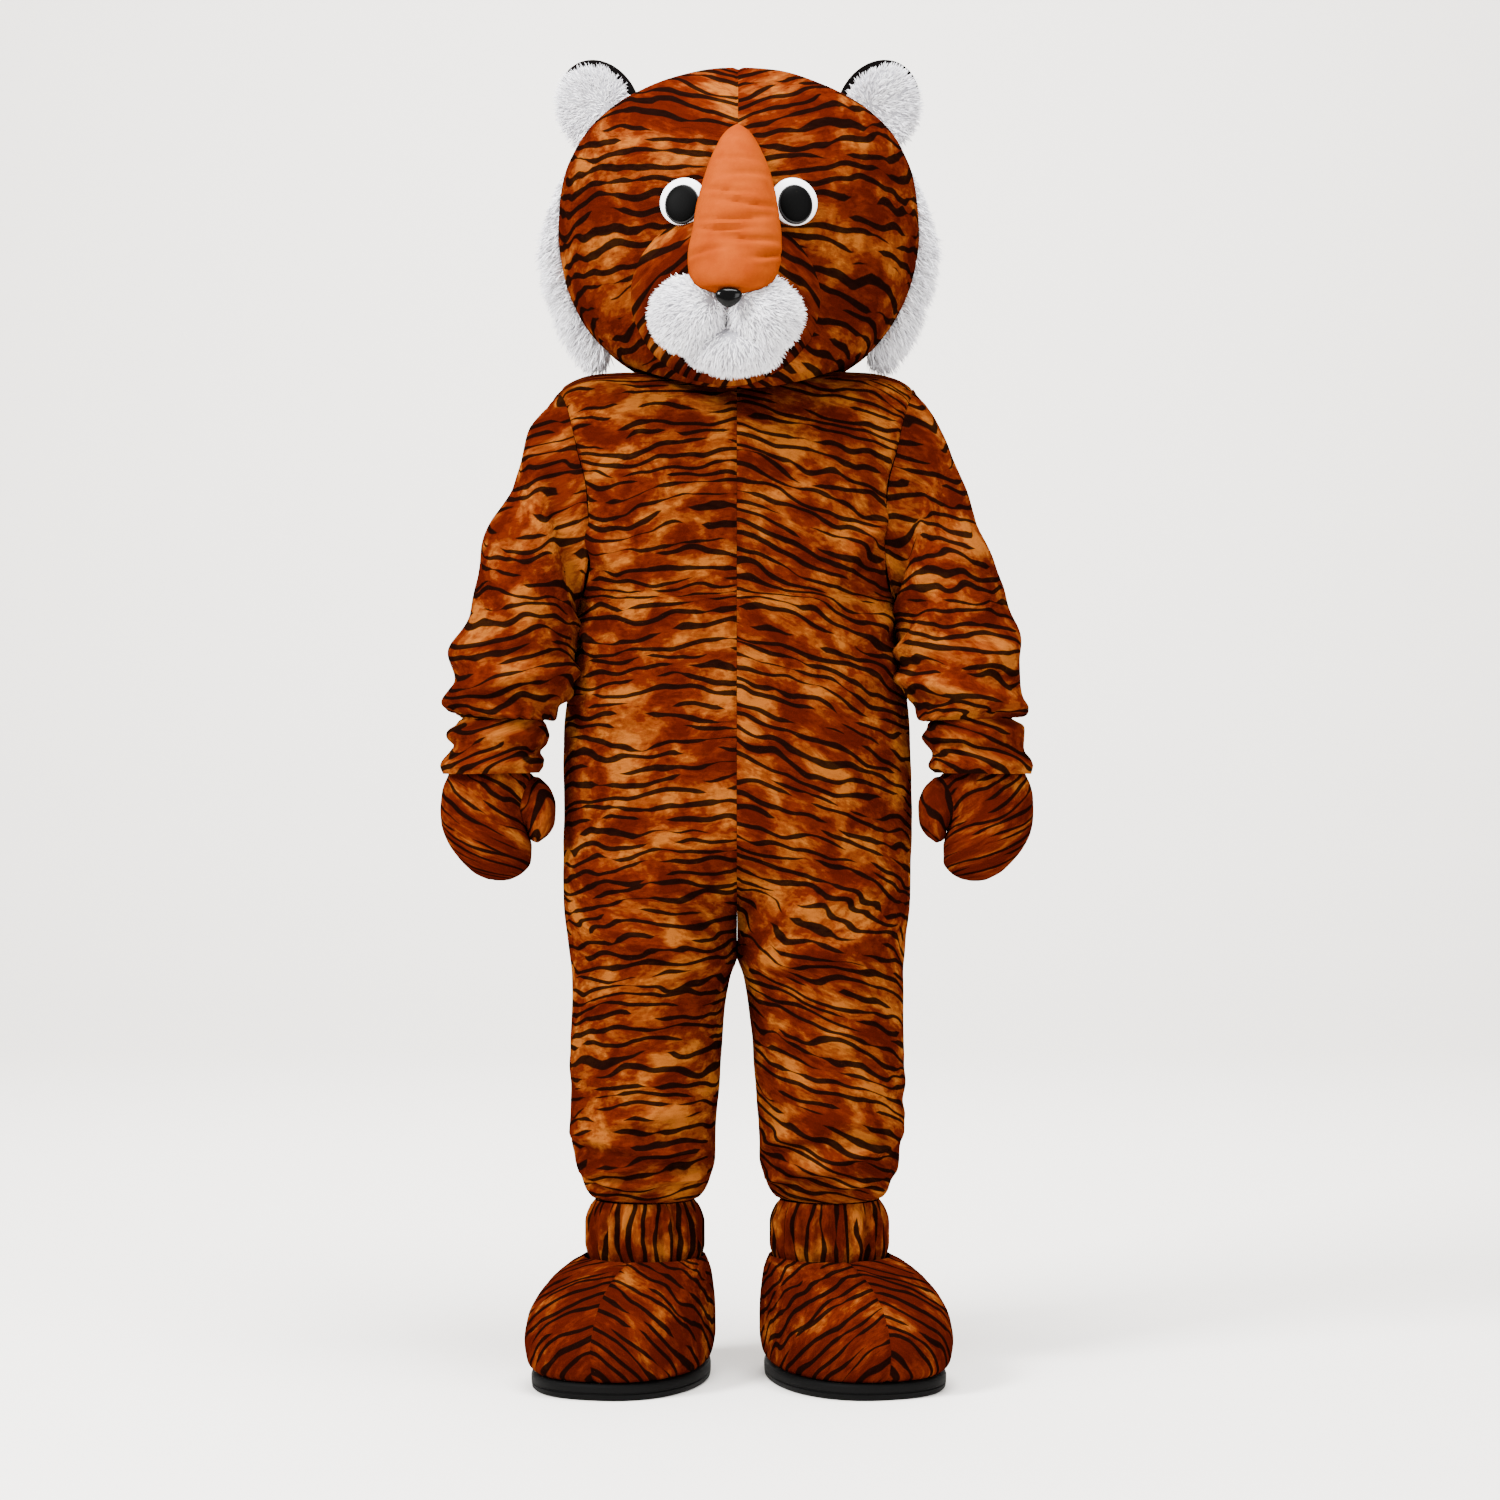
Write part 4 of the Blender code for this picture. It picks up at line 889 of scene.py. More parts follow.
def ball_grid(ball, side=1.0):
    """A ball's mesh, with small faces."""
    shape = bmesh.new()
    bmesh.ops.create_icosphere(shape, subdivisions=5, radius=1.0)
    radii = Vector((ball.rx, ball.ry, ball.rz))
    bmesh.ops.scale(shape, vec=radii, verts=shape.verts)
    centre = Vector((side * ball.x, ball.y, ball.height - SHOULDER_HEIGHT))
    bmesh.ops.translate(shape, vec=centre, verts=shape.verts)
    return shape


def soften(shape, size, depth, seed):
    """Uneven stuffing under a skin."""
    shape.normal_update()
    for vert in shape.verts:
        place = vert.co / size + Vector((seed, seed, seed))
        small = noise.noise(place * 2.7)
        vert.co += vert.normal * depth * (noise.noise(place) + 0.4 * small)


def bridge_points(where, turns):
    row = rows_at(BRIDGE_ROWS, where)
    angle = 2.0 * math.pi * turns[None, :]
    x = row.sideways + row.half_width * np.cos(angle) + HEAD_X
    y = -row.forward - row.half_depth * np.sin(angle)
    return np.stack([x, y, row.height + 0.0 * angle], axis=2)


def bridge_grid(sizes):
    """The stuffed bridge, wrinkled between the eyes."""
    turns = np.linspace(0.0, 1.0, BRIDGE_COLUMNS)
    where, run = spaced(bridge_points, 0, len(BRIDGE_ROWS) - 1, BRIDGE_GRID_ROWS, 0.3)
    points = bridge_points(where, turns)
    points[:, -1] = points[:, 0]
    points[0] = points[0].mean(axis=0)
    points[-1] = points[-1].mean(axis=0)
    middle = points[:, :-1].mean(axis=1, keepdims=True)
    normals = outward(points, grid_normals(points, True), middle)
    lift = fold_heights(BRIDGE_FOLDS, turns[None, :], points[:, :, 2]) * sizes.fold_strength
    uneven = relief(points, 0.045, 0.0011, 31.0)
    uneven[:, -1] = uneven[:, 0]
    lift = lift + uneven
    lift[0] = 0.0
    lift[-1] = 0.0
    points = points + normals * lift[:, :, None]
    prints = np.stack([across_length(points), run[:, None] + 0.0 * lift], axis=2)
    return points, normals, prints


def ear_half(dome, facing, outward_shift, size, hollow):
    """Half of a cupped ear: a flat seam face and a domed outside, hollowed in its middle."""
    shape = bmesh.new()
    bmesh.ops.create_icosphere(shape, subdivisions=5, radius=1.0)
    whole = shape.verts[:] + shape.edges[:] + shape.faces[:]
    direction = Vector((0.0, facing, 0.0))
    bmesh.ops.bisect_plane(shape, geom=whole, plane_co=(0.0, 0.0, 0.0), plane_no=direction,
                           clear_inner=True)
    rim = [edge for edge in shape.edges if edge.is_boundary]
    bmesh.ops.contextual_create(shape, geom=rim)
    for vert in shape.verts:
        radius = math.hypot(vert.co.x, vert.co.z)
        vert.co.y *= 1.0 - hollow * math.exp(-(radius / 0.55) ** 2)
    radius = EAR_RADIUS * size
    bmesh.ops.scale(shape, vec=(radius, dome, radius * EAR_STRETCH), verts=shape.verts)
    bmesh.ops.translate(shape, vec=(outward_shift, facing * SEAM_PULL, 0.0), verts=shape.verts)
    return shape


def ear_turn(side):
    place = (side * EAR_X + HEAD_X, EAR_Y, EAR_HEIGHT - SHOULDER_HEIGHT)
    turn = Matrix.Rotation(side * EAR_FLARE, 4, "Y") @ Matrix.Rotation(side * EAR_TURN, 4, "Z")
    return Matrix.Translation(place) @ turn


def ruff_points(where, turns):
    """The reach of the cheek fur: a crescent standing off the side of the head."""
    row = rows_at(RUFF_ROWS, where)
    rings = []
    for height, reach, half_depth in zip(row.height[:, 0], row.reach[:, 0], row.half_depth[:, 0]):
        width = head_outline(height)[0]
        above = head_outline(height + RUFF_LEAN)[0]
        below = head_outline(height - RUFF_LEAN)[0]
        away = np.array([2.0 * RUFF_LEAN, 0.0, below - above])
        away = away / np.linalg.norm(away)
        root = np.array([width, RUFF_BACK, height]) - away * RUFF_ROOT
        half = 0.5 * (reach + RUFF_ROOT)
        angle = 2.0 * math.pi * turns
        ring = root + away * (half + half * np.cos(angle))[:, None]
        ring[:, 1] += half_depth * np.sin(angle)
        rings.append(ring)
    return np.array(rings)


# Fur

Fur = namedtuple("Fur", "count length width lift fall jitter curl seed")
# count: tufts. length, width: a tuft's, in metres. lift: how far it stands off the skin rather than
# lying along it. fall: how much it droops. jitter: how unlike its neighbours it lies. curl: its bend.
CLUMP = 0.011              # tufts this close together lean alike
TUFT_RINGS = ((0.0, 1.0), (0.4, 0.85), (0.75, 0.5))


def skin_samples(shape, count, random):
    """Evenly scattered places on a mesh, and its normals there."""
    corners = []
    normals = []
    for triangle in shape.calc_loop_triangles():
        corners.append([loop.vert.co[:] for loop in triangle])
        normals.append([loop.vert.normal[:] for loop in triangle])
    corners = np.array(corners)
    normals = np.array(normals)
    sides = np.cross(corners[:, 1] - corners[:, 0], corners[:, 2] - corners[:, 0])
    area = np.linalg.norm(sides, axis=1)
    chosen = random.choice(len(area), count, p=area / area.sum())
    share = random.random((count, 2))
    over = share.sum(axis=1) > 1.0
    share[over] = 1.0 - share[over]
    weight = np.stack([1.0 - share.sum(axis=1), share[:, 0], share[:, 1]], axis=1)[:, :, None]
    places = (corners[chosen] * weight).sum(axis=1)
    ups = (normals[chosen] * weight).sum(axis=1)
    return places, ups / np.maximum(np.linalg.norm(ups, axis=1, keepdims=True), 1e-9)


def unit(vectors):
    return vectors / np.maximum(np.linalg.norm(vectors, axis=-1, keepdims=True), 1e-9)


def tuft_mesh(places, ups, flows, fur, random, lengths):
    """Every tuft is a thin three-sided cone that bends from the skin's normal into its flow."""
    count = len(places)
    clump = [noise.noise_vector(Vector(place) / CLUMP) for place in places]
    stray = random.normal(size=(count, 3)) * fur.jitter + np.array(clump) * 1.6 * fur.jitter
    start = unit(ups * fur.lift + flows * (1.0 - fur.lift) + stray)
    droop = np.array([0.0, 0.0, -fur.fall])
    end = unit(start + flows * 0.6 + droop + random.normal(size=(count, 3)) * fur.curl)
    side = unit(np.cross(start, random.normal(size=(count, 3))))
    third = np.cross(start, side)
    length = (fur.length * lengths * (0.65 + 0.7 * random.random(count)))[:, None]
    width = fur.width * (0.7 + 0.6 * random.random(count))[:, None]
    points = []
    for share, size in TUFT_RINGS:
        middle = places + length * share * unit(start * (1.0 - share) + end * share)
        middle = middle - ups * fur.width * 0.5 * (1.0 if share == 0.0 else 0.0)
        for corner in range(3):
            angle = 2.0 * math.pi * corner / 3.0
            spoke = side * math.cos(angle) + third * math.sin(angle)
            points.append(middle + spoke * width * size)
    points.append(places + length * end)
    points = np.stack(points, axis=1)
    faces = []
    for ring in range(len(TUFT_RINGS) - 1):
        for corner in range(3):
            following = (corner + 1) % 3
            low = 3 * ring
            faces.append((low + corner, low + following, low + 3 + following, low + 3 + corner))
    last = 3 * (len(TUFT_RINGS) - 1)
    tips = [(last + corner, last + (corner + 1) % 3, last + 3) for corner in range(3)]
    size = points.shape[1]
    quads = [[size * tuft + corner for corner in face] for tuft in range(count) for face in faces + tips]
    mesh = bpy.data.meshes.new("tufts")
    mesh.from_pydata(points.reshape(-1, 3).tolist(), [], quads)
    return mesh


def add_fur(shape, fur, flow, keep):
    """Covers a skin with tufts, where keep allows them and as long as it says."""
    random = np.random.default_rng(fur.seed)
    shape.normal_update()
    places, ups = skin_samples(shape, fur.count, random)
    lengths = keep(places, ups)
    shown = lengths > 0.0
    places, ups, lengths = places[shown], ups[shown], lengths[shown]
    mesh = tuft_mesh(places, ups, unit(flow(places, ups)), fur, random, lengths)
    skin = shape.faces[:]
    shape.from_mesh(mesh)
    bpy.data.meshes.remove(mesh)
    # The skin under the tufts takes the second finish, painted shade that darkens it between them
    for face in skin:
        face.material_index = 1


# Boots

BOOT_COLUMNS = 81
BOOT_GRID_ROWS = 60
BOOT_LAST = len(BOOT_ROWS) - 1
BOOT_RISE = 0.85           # how fast the print's lines climb the boot, run back along it,
BOOT_RUN = 0.50            # and lean away from the toe's seam
BOOT_LEAN = 0.55
SOLE_COLUMNS = 129
SOLE_STEPS = ((0.0, -0.006), (0.0006, 0.001), (0.003, 0.0036), (0.0085, 0.0046), (0.0095, 0.0030),
              (0.0108, 0.0030), (0.0118, 0.0048), (0.0190, 0.0050), (0.0225, 0.0042),
              (0.0240, 0.0020), (0.0240, -0.010))
COLLAR_COLUMNS = 185
COLLAR_GRID_ROWS = 34
COLLAR_LAST = len(COLLAR_ROWS) - 1


def boot_points(where, turns, swell):
    """Half a boot; turn is 0 at the toe and 1 at the heel."""
    row = rows_at(BOOT_ROWS, where)
    angle = math.pi * turns[None, :]
    half = 0.5 * (row.toe + row.heel)
    middle = 0.5 * (row.heel - row.toe)
    slimming = 1.0 - row.narrow * 0.5 * (1.0 - np.cos(angle))
    x = row.width * np.clip(np.sin(angle), 0.0, 1.0) ** BOOT_SQUARENESS * slimming
    x = x * (1.0 + swell * row.narrow)
    return np.stack([x, middle - half * np.cos(angle), row.height + 0.0 * angle], axis=2)


def boot_turn(side):
    """From a foot's own place to the frame, toes turned out."""
    angle = side * (TOE_OUT["left"] if side > 0 else TOE_OUT["right"])
    return (np.array([[math.cos(angle), -math.sin(angle), 0.0],
                      [math.sin(angle), math.cos(angle), 0.0],
                      [0.0, 0.0, 1.0]]), np.array([side * ANKLE_X, 0.0, 0.0]))


def on_foot(points, side):
    turn, place = boot_turn(side)
    return points @ turn.T + place


def boot_panel(sizes, side, outer):
    """The outer or inner half of one boot."""
    swell = OUTER_SWELL if outer else 0.0

    def shape(where, turns):
        return boot_points(where, turns, swell)
    where, run = spaced(shape, 0, BOOT_LAST, BOOT_GRID_ROWS, 0.25)
    turns = clustered(BOOT_COLUMNS, 0.45)
    points = shape(where, turns)
    normals = outward(points, grid_normals(points), np.array([0.0, -0.08, 0.03]))
    across = across_length(points)
    lift = relief(points, 0.07, 0.0016, 41.0)
    for distance in (across, across[:, -1:] - across, run[:, None] + 0.0 * across):
        lift = lift + groove(distance, sizes.seam_depth, sizes.seam_width)
    points = points + normals * lift[:, :, None]
    chevron = (BOOT_RISE * points[:, :, 2] + BOOT_RUN * points[:, :, 1]
               + BOOT_LEAN * points[:, :, 0])
    prints = np.stack([across, chevron], axis=2)
    mirror = side if outer else -side
    points[:, :, 0] *= mirror
    normals[:, :, 0] *= mirror
    turn = boot_turn(side)[0]
    return on_foot(points, side), normals @ turn.T, prints


def collar_grid(side):
    """A gathered band round the ankle, its pleats uneven in width and depth."""
    turns = np.linspace(0.0, 1.0, COLLAR_COLUMNS)
    where = np.linspace(0, COLLAR_LAST, COLLAR_GRID_ROWS)
    row = rows_at(COLLAR_ROWS, where)
    angle = 2.0 * math.pi * turns[None, :]
    sway = 0.55 * np.sin(3.0 * angle + 1.3 * side) + 0.35 * np.sin(7.0 * angle + where[:, None] * 0.4)
    pleat = np.cos(COLLAR_PLEATS * angle + sway)
    size = 0.75 + 0.25 * np.sin(5.0 * angle + side)
    radius = row.radius + 1.7 * row.gather * pleat * size
    points = np.stack([radius * np.cos(angle), radius * np.sin(angle), row.height + 0.0 * angle], axis=2)
    points[:, -1] = points[:, 0]
    normals = outward(points, grid_normals(points, True), points * np.array([0.0, 0.0, 1.0]))
    across = across_length(points)
    round_length = angle * row.radius.mean() + 0.0 * across
    prints = np.stack([row.height + 0.0 * across, round_length], axis=2)
    turn = boot_turn(side)[0]
    return on_foot(points, side), normals @ turn.T, prints


def sole_outline(margin, height, turns, side):
    """A closed outline of the sole: its outer half, then its inner half."""
    base = BOOT_ROWS[0]
    half = 0.5 * (base.toe + base.heel) + margin
    middle = 0.5 * (base.heel - base.toe)
    ring = []
    for turn in turns:
        angle = 2.0 * math.pi * turn
        slimming = 1.0 - base.narrow * 0.5 * (1.0 - math.cos(angle))
        x = (base.width + margin) * abs(math.sin(angle)) ** BOOT_SQUARENESS * slimming
        if turn < 0.5:
            x *= 1.0 + OUTER_SWELL * base.narrow
        ring.append((x * (side if turn < 0.5 else -side), middle - half * math.cos(angle), height))
    return np.array(ring)


def sole_grid(side):
    """A flat sole with rounded edges and a groove round its wall."""
    turns = np.linspace(0.0, 1.0, SOLE_COLUMNS)
    rings = [sole_outline(margin, height, turns, side) for height, margin in SOLE_STEPS]
    rings = [rings[0] * 0.0 + rings[0].mean(axis=0)] + rings + [rings[-1] * 0.0 + rings[-1].mean(axis=0)]
    points = np.array(rings)
    normals = outward(points, grid_normals(points, True), np.array([0.0, -0.07, 0.012]))
    prints = np.stack([across_length(points), points[:, :, 2]], axis=2)
    return on_foot(points, side), normals, prints


# Finishes

def add_node(tree, kind, **settings):
    made = tree.nodes.new(kind)
    for name, value in settings.items():
        setattr(made, name, value)
    return made


def plug(tree, socket, value):
    """Links a socket's source, or sets its value."""
    if isinstance(value, bpy.types.NodeSocket):
        tree.links.new(value, socket)
    else:
        socket.default_value = value


def calculate(tree, operation, *values, clamp=False):
    made = add_node(tree, "ShaderNodeMath", operation=operation, use_clamp=clamp)
    for socket, value in zip(made.inputs, values):
        plug(tree, socket, value)
    return made.outputs[0]


def scaled(tree, vector, scale, shift=(0.0, 0.0, 0.0)):
    made = add_node(tree, "ShaderNodeMapping")
    plug(tree, made.inputs["Vector"], vector)
    made.inputs["Scale"].default_value = scale
    made.inputs["Location"].default_value = shift
    return made.outputs[0]


def noise_value(tree, vector, detail=2.0, roughness=0.5, distortion=0.0):
    """Noise about 0.5 wherever a scaled vector points."""
    made = add_node(tree, "ShaderNodeTexNoise")
    plug(tree, made.inputs["Vector"], vector)
    made.inputs["Scale"].default_value = 1.0
    made.inputs["Detail"].default_value = detail
    made.inputs["Roughness"].default_value = roughness
    made.inputs["Distortion"].default_value = distortion
    return made.outputs["Fac"]


def mix_colours(tree, share, first, second, blend="MIX"):
    made = add_node(tree, "ShaderNodeMix", data_type="RGBA", blend_type=blend)
    plug(tree, made.inputs["Factor"], share)
    plug(tree, made.inputs[6], first)
    plug(tree, made.inputs[7], second)
    return made.outputs[2]


def ramp(tree, value, stops):
    made = add_node(tree, "ShaderNodeValToRGB")
    plug(tree, made.inputs[0], value)
    made.color_ramp.interpolation = "EASE"
    elements = made.color_ramp.elements
    while len(elements) < len(stops):
        elements.new(0.5)
    for element, (position, colour) in zip(elements, stops):
        element.position = position
        element.color = (*colour, 1.0)
    return made.outputs[0]


def new_finish(name, roughness, slot_colour):
    """An empty finish and its shader."""
    old = bpy.data.materials.get(name)
    if old is not None:
        bpy.data.materials.remove(old)
    material = bpy.data.materials.new(name)
    material.use_nodes = True
    material.diffuse_color = (*slot_colour, 1.0)
    tree = material.node_tree
    shader = tree.nodes["Principled BSDF"]
    shader.inputs["Base Color"].default_value = (*slot_colour, 1.0)
    shader.inputs["Roughness"].default_value = roughness
    return material, tree, shader


def pile(shader, sheen, tint):
    """The soft halo that short pile shows where it is seen edge on."""
    shader.inputs["Sheen Weight"].default_value = sheen
    shader.inputs["Sheen Roughness"].default_value = 0.45
    shader.inputs["Sheen Tint"].default_value = (*tint, 1.0)
    shader.inputs["Specular IOR Level"].default_value = 0.0


def add_bumps(tree, shader, layers):
    """Layers of relief, each a height, a strength and a distance."""
    last = None
    for height, strength, distance in layers:
        made = add_node(tree, "ShaderNodeBump")
        made.inputs["Strength"].default_value = strength
        made.inputs["Distance"].default_value = distance
        plug(tree, made.inputs["Height"], height)
        if last is not None:
            tree.links.new(last, made.inputs["Normal"])
        last = made.outputs[0]
    tree.links.new(last, shader.inputs["Normal"])


Print = namedtuple("Print", "gap width wander wiggle keep patch dark seed")
# gap: from stripe to stripe. width: of the widest stripe. wander: how far neighbours stray together.
# wiggle: how far a stripe strays alone, in gaps; at 1 neighbours meet in forks. keep: the higher,
# the shorter the stripes. patch: a patch of colour's size. dark: how much of the ground is rust,
# even at EVEN_DARK and more above it. Lengths are in metres.
PRINTS = {
    "suit": Print(0.0182, 0.0078, 0.034, 1.00, 0.37, 0.060, 0.52, 0.0),
    "head": Print(0.0225, 0.0105, 0.026, 1.00, 0.36, 0.080, 0.74, 3.0),
    "mitt": Print(0.0190, 0.0076, 0.020, 0.90, 0.35, 0.060, 1.05, 7.0),
    "boot": Print(0.0195, 0.0080, 0.024, 0.90, 0.35, 0.065, 1.15, 11.0),
    "collar": Print(0.0190, 0.0076, 0.016, 0.80, 0.36, 0.055, 0.62, 17.0),
}


EVEN_DARK = 0.4
DARK_STEP = 0.11           # how far each unit of dark moves the ground towards rust
STRAY_RATE = 11.0          # how often a stripe strays and swells, per metre
SWELL_RATE = 12.0
SWELL_GAIN = 9.0           # how soon a stripe grows to its full width
EDGE_BLUR = 0.022          # of a stripe, in gaps between every second one


def stripe_set(tree, place, style, shift, seed):
    """Every second stripe, each straying, swelling and breaking off by itself, from 0 to 1."""
    parts = add_node(tree, "ShaderNodeSeparateXYZ")
    tree.links.new(place, parts.inputs[0])
    pitch = 2.0 * style.gap
    phase = calculate(tree, "MULTIPLY_ADD", parts.outputs[1], 1.0 / pitch, shift)
    number = calculate(tree, "FLOOR", phase)

    def along_stripe(scale, step, detail):
        spot = add_node(tree, "ShaderNodeCombineXYZ")
        plug(tree, spot.inputs[0], calculate(tree, "MULTIPLY", parts.outputs[0], scale))
        plug(tree, spot.inputs[1], calculate(tree, "MULTIPLY_ADD", number, step, seed))
        return noise_value(tree, spot.outputs[0], detail, 0.55)

    stray = calculate(tree, "SUBTRACT", along_stripe(STRAY_RATE, 7.31, 1.0), 0.5)
    off = calculate(tree, "SUBTRACT", calculate(tree, "SUBTRACT", phase, number), 0.5)
    away = calculate(tree, "ABSOLUTE", calculate(tree, "MULTIPLY_ADD", stray, style.wiggle, off))
    swell = calculate(tree, "SUBTRACT", along_stripe(SWELL_RATE, 5.87, 1.0), style.keep)
    swell = calculate(tree, "MULTIPLY", swell, SWELL_GAIN, clamp=True)
    thick = calculate(tree, "MULTIPLY", swell, 0.5 * style.width / pitch)
    edge = calculate(tree, "SUBTRACT", thick, away)
    edge = calculate(tree, "DIVIDE", edge, EDGE_BLUR, clamp=True)
    return calculate(tree, "MULTIPLY", edge, calculate(tree, "MULTIPLY", swell, 4.0, clamp=True))


def warped(tree, place, style):
    """The print's places, bent so that neighbouring stripes wander together."""
    bend = calculate(tree, "SUBTRACT", noise_value(tree, scaled(tree, place, (6.0, 9.0, 1.0)), 2.0), 0.5)
    ripple = noise_value(tree, scaled(tree, place, (30.0, 24.0, 1.0), (9.0, 2.0, 0.0)), 1.0)
    ripple = calculate(tree, "SUBTRACT", ripple, 0.5)
    shift = calculate(tree, "MULTIPLY", ripple, 0.35 * style.gap)
    shift = calculate(tree, "MULTIPLY_ADD", bend, 2.0 * style.wander, shift)
    lift = add_node(tree, "ShaderNodeCombineXYZ")
    plug(tree, lift.inputs[1], shift)
    made = add_node(tree, "ShaderNodeVectorMath", operation="ADD")
    plug(tree, made.inputs[0], place)
    plug(tree, made.inputs[1], lift.outputs[0])
    return made.outputs[0]


def striped_plush(name, style, colours, roughness=0.8):
    """Short pile with a printed tiger stripe, on its piece's own print measure."""
    material, tree, shader = new_finish(name, roughness, colours.russet)
    source = add_node(tree, "ShaderNodeUVMap", uv_map="print").outputs[0]
    place = scaled(tree, source, (1.0, 1.0, 1.0), (style.seed, style.seed * 0.37, 0.0))
    fibre = noise_value(tree, scaled(tree, place, (520.0, 700.0, 1.0)), 2.0, 0.6)
    nap = noise_value(tree, scaled(tree, place, (60.0, 150.0, 1.0)), 4.0, 0.62, 0.5)
    cloud = noise_value(tree, scaled(tree, place, (0.85 / style.patch, 1.15 / style.patch, 1.0)),
                        4.0, 0.60, 0.30)
    cloud = calculate(tree, "MULTIPLY_ADD", calculate(tree, "SUBTRACT", nap, 0.5), 0.16, cloud)
    cloud = calculate(tree, "SUBTRACT", cloud, DARK_STEP * (style.dark - EVEN_DARK))
    base = ramp(tree, cloud, ((0.36, colours.rust), (0.465, colours.russet),
                              (0.525, colours.amber), (0.62, colours.honey)))
    bent = warped(tree, place, style)
    lines = calculate(tree, "MAXIMUM", stripe_set(tree, bent, style, 0.0, 2.0),
                      stripe_set(tree, bent, style, 0.5, 31.0))
    lines = calculate(tree, "MULTIPLY", lines, 0.95)
    colour = mix_colours(tree, lines, base, (*colours.stripe, 1.0))
    shade = calculate(tree, "MULTIPLY_ADD", fibre, 0.50, 0.32)
    shade = calculate(tree, "MULTIPLY_ADD", nap, 0.90, shade)
    tone = add_node(tree, "ShaderNodeHueSaturation")
    tree.links.new(shade, tone.inputs["Value"])
    tree.links.new(colour, tone.inputs["Color"])
    tree.links.new(tone.outputs[0], shader.inputs["Base Color"])
    pile(shader, 0.0, colours.amber)
    add_bumps(tree, shader, ((nap, 0.60, 0.0028), (fibre, 0.55, 0.0008)))
    return material


def plain_plush(name, colour, pale, sheen, patch, fibre_scale, depth, roughness=0.85):
    """Fur or plush of one colour, a little paler here and there."""
    material, tree, shader = new_finish(name, roughness, colour)
    source = add_node(tree, "ShaderNodeTexCoord").outputs["Object"]
    cloud = noise_value(tree, scaled(tree, source, (1.0 / patch,) * 3), 4.0, 0.6)
    cloud = calculate(tree, "MULTIPLY", calculate(tree, "SUBTRACT", cloud, 0.35), 3.0, clamp=True)
    base = mix_colours(tree, cloud, (*colour, 1.0), (*pale, 1.0))
    fibre = noise_value(tree, scaled(tree, source, (fibre_scale,) * 3), 2.0, 0.6)
    nap = noise_value(tree, scaled(tree, source, (110.0, 110.0, 60.0)), 3.0, 0.6)
    tree.links.new(base, shader.inputs["Base Color"])
    pile(shader, sheen, pale)
    add_bumps(tree, shader, ((nap, 0.40, depth * 2.0), (fibre, 0.50, depth)))
    return material


def plain_plastic(name, colour, roughness, gloss):
    """A smooth finish of one colour; gloss is how strongly it mirrors."""
    material, _, shader = new_finish(name, roughness, colour)
    shader.inputs["Specular IOR Level"].default_value = gloss
    return material


def sole_rubber(name, colour):
    """Matt rubber with a fine grain."""
    material, tree, shader = new_finish(name, 0.7, colour)
    shader.inputs["Specular IOR Level"].default_value = 0.05
    source = add_node(tree, "ShaderNodeTexCoord").outputs["Object"]
    grain = noise_value(tree, scaled(tree, source, (700.0,) * 3), 2.0)
    add_bumps(tree, shader, ((grain, 0.3, 0.0005),))
    return material


# Stuffed shapes

def head_share(places):
    """How far points in the frame lie out from the head's axis; 1 is its skin."""
    height = places[:, 2] + SHOULDER_HEIGHT
    width = np.interp(height, [row.side for row in HEAD_ROWS], [row.outer for row in HEAD_ROWS])
    front = np.interp(height, [row.middle for row in HEAD_ROWS], [row.front for row in HEAD_ROWS])
    back = np.interp(height, [row.middle for row in HEAD_ROWS], [row.back for row in HEAD_ROWS])
    depth = np.where(places[:, 1] < 0.0, front, back)
    x = (places[:, 0] - HEAD_X) / np.maximum(width, 1e-3)
    return np.sqrt(x * x + (places[:, 1] / np.maximum(depth, 1e-3)) ** 2)


def press_on_face(shape, sink=0.004):
    """Nothing sinks deeper into the face than its foam."""
    for vert in shape.verts:
        height = vert.co.z + SHOULDER_HEIGHT
        width, depth = head_outline(height)
        x = min(1.0, abs(vert.co.x - HEAD_X) / width)
        limit = -depth * math.sqrt(1.0 - x * x) + sink
        vert.co.y = min(vert.co.y, limit)


def planar_print(shape, spread):
    """A print measured across the face, its lines spreading out sideways."""
    layer = shape.loops.layers.uv.new("print")
    for face in shape.faces:
        for loop in face.loops:
            place = loop.vert.co
            rise = place.z + SHOULDER_HEIGHT - FACE_HEIGHT
            x = place.x - HEAD_X
            loop[layer].uv = (x + 5.0, rise / (1.0 + spread * abs(x)) + 0.5 * abs(x) + 2.0)


def pad_shape():
    shape = ball_grid(PAD._replace(x=PAD.x + HEAD_X))
    soften(shape, 0.045, 0.0018, 2.0)
    press_on_face(shape)
    planar_print(shape, FACE_SPREAD)
    return shape


def head_keep(places, ups):
    """Fur only where a skin stands out of the head."""
    return np.where(head_share(places) > 0.985, 1.0, 0.0)


def away_from(hub, fall):
    def flow(places, ups):
        return unit(places - np.array(hub)) + np.array([0.0, -0.1, -fall])
    return flow


LOBE_FUR = Fur(4200, 0.0105, 0.00105, 0.42, 0.10, 0.20, 0.25, 101)
CHIN_FUR = Fur(3000, 0.0095, 0.00105, 0.35, 0.30, 0.18, 0.25, 131)
EAR_FUR = Fur(2600, 0.0085, 0.00095, 0.45, 0.05, 0.22, 0.25, 151)
RUFF_FUR = Fur(5200, 0.0210, 0.00115, 0.30, 0.45, 0.20, 0.30, 171)
LOBE_HUB = (-0.0145, -0.352, 1.552 - SHOULDER_HEIGHT)
CHIN_HUB = (-0.004, -0.335, 1.500 - SHOULDER_HEIGHT)


SPLIT_DEPTH = 0.007         # of the crease between the two lobes
SPLIT_WIDTH = 0.012
SPLIT_BARE = 0.003         # no fur grows this near to the crease, so the skin's painted shade shows there
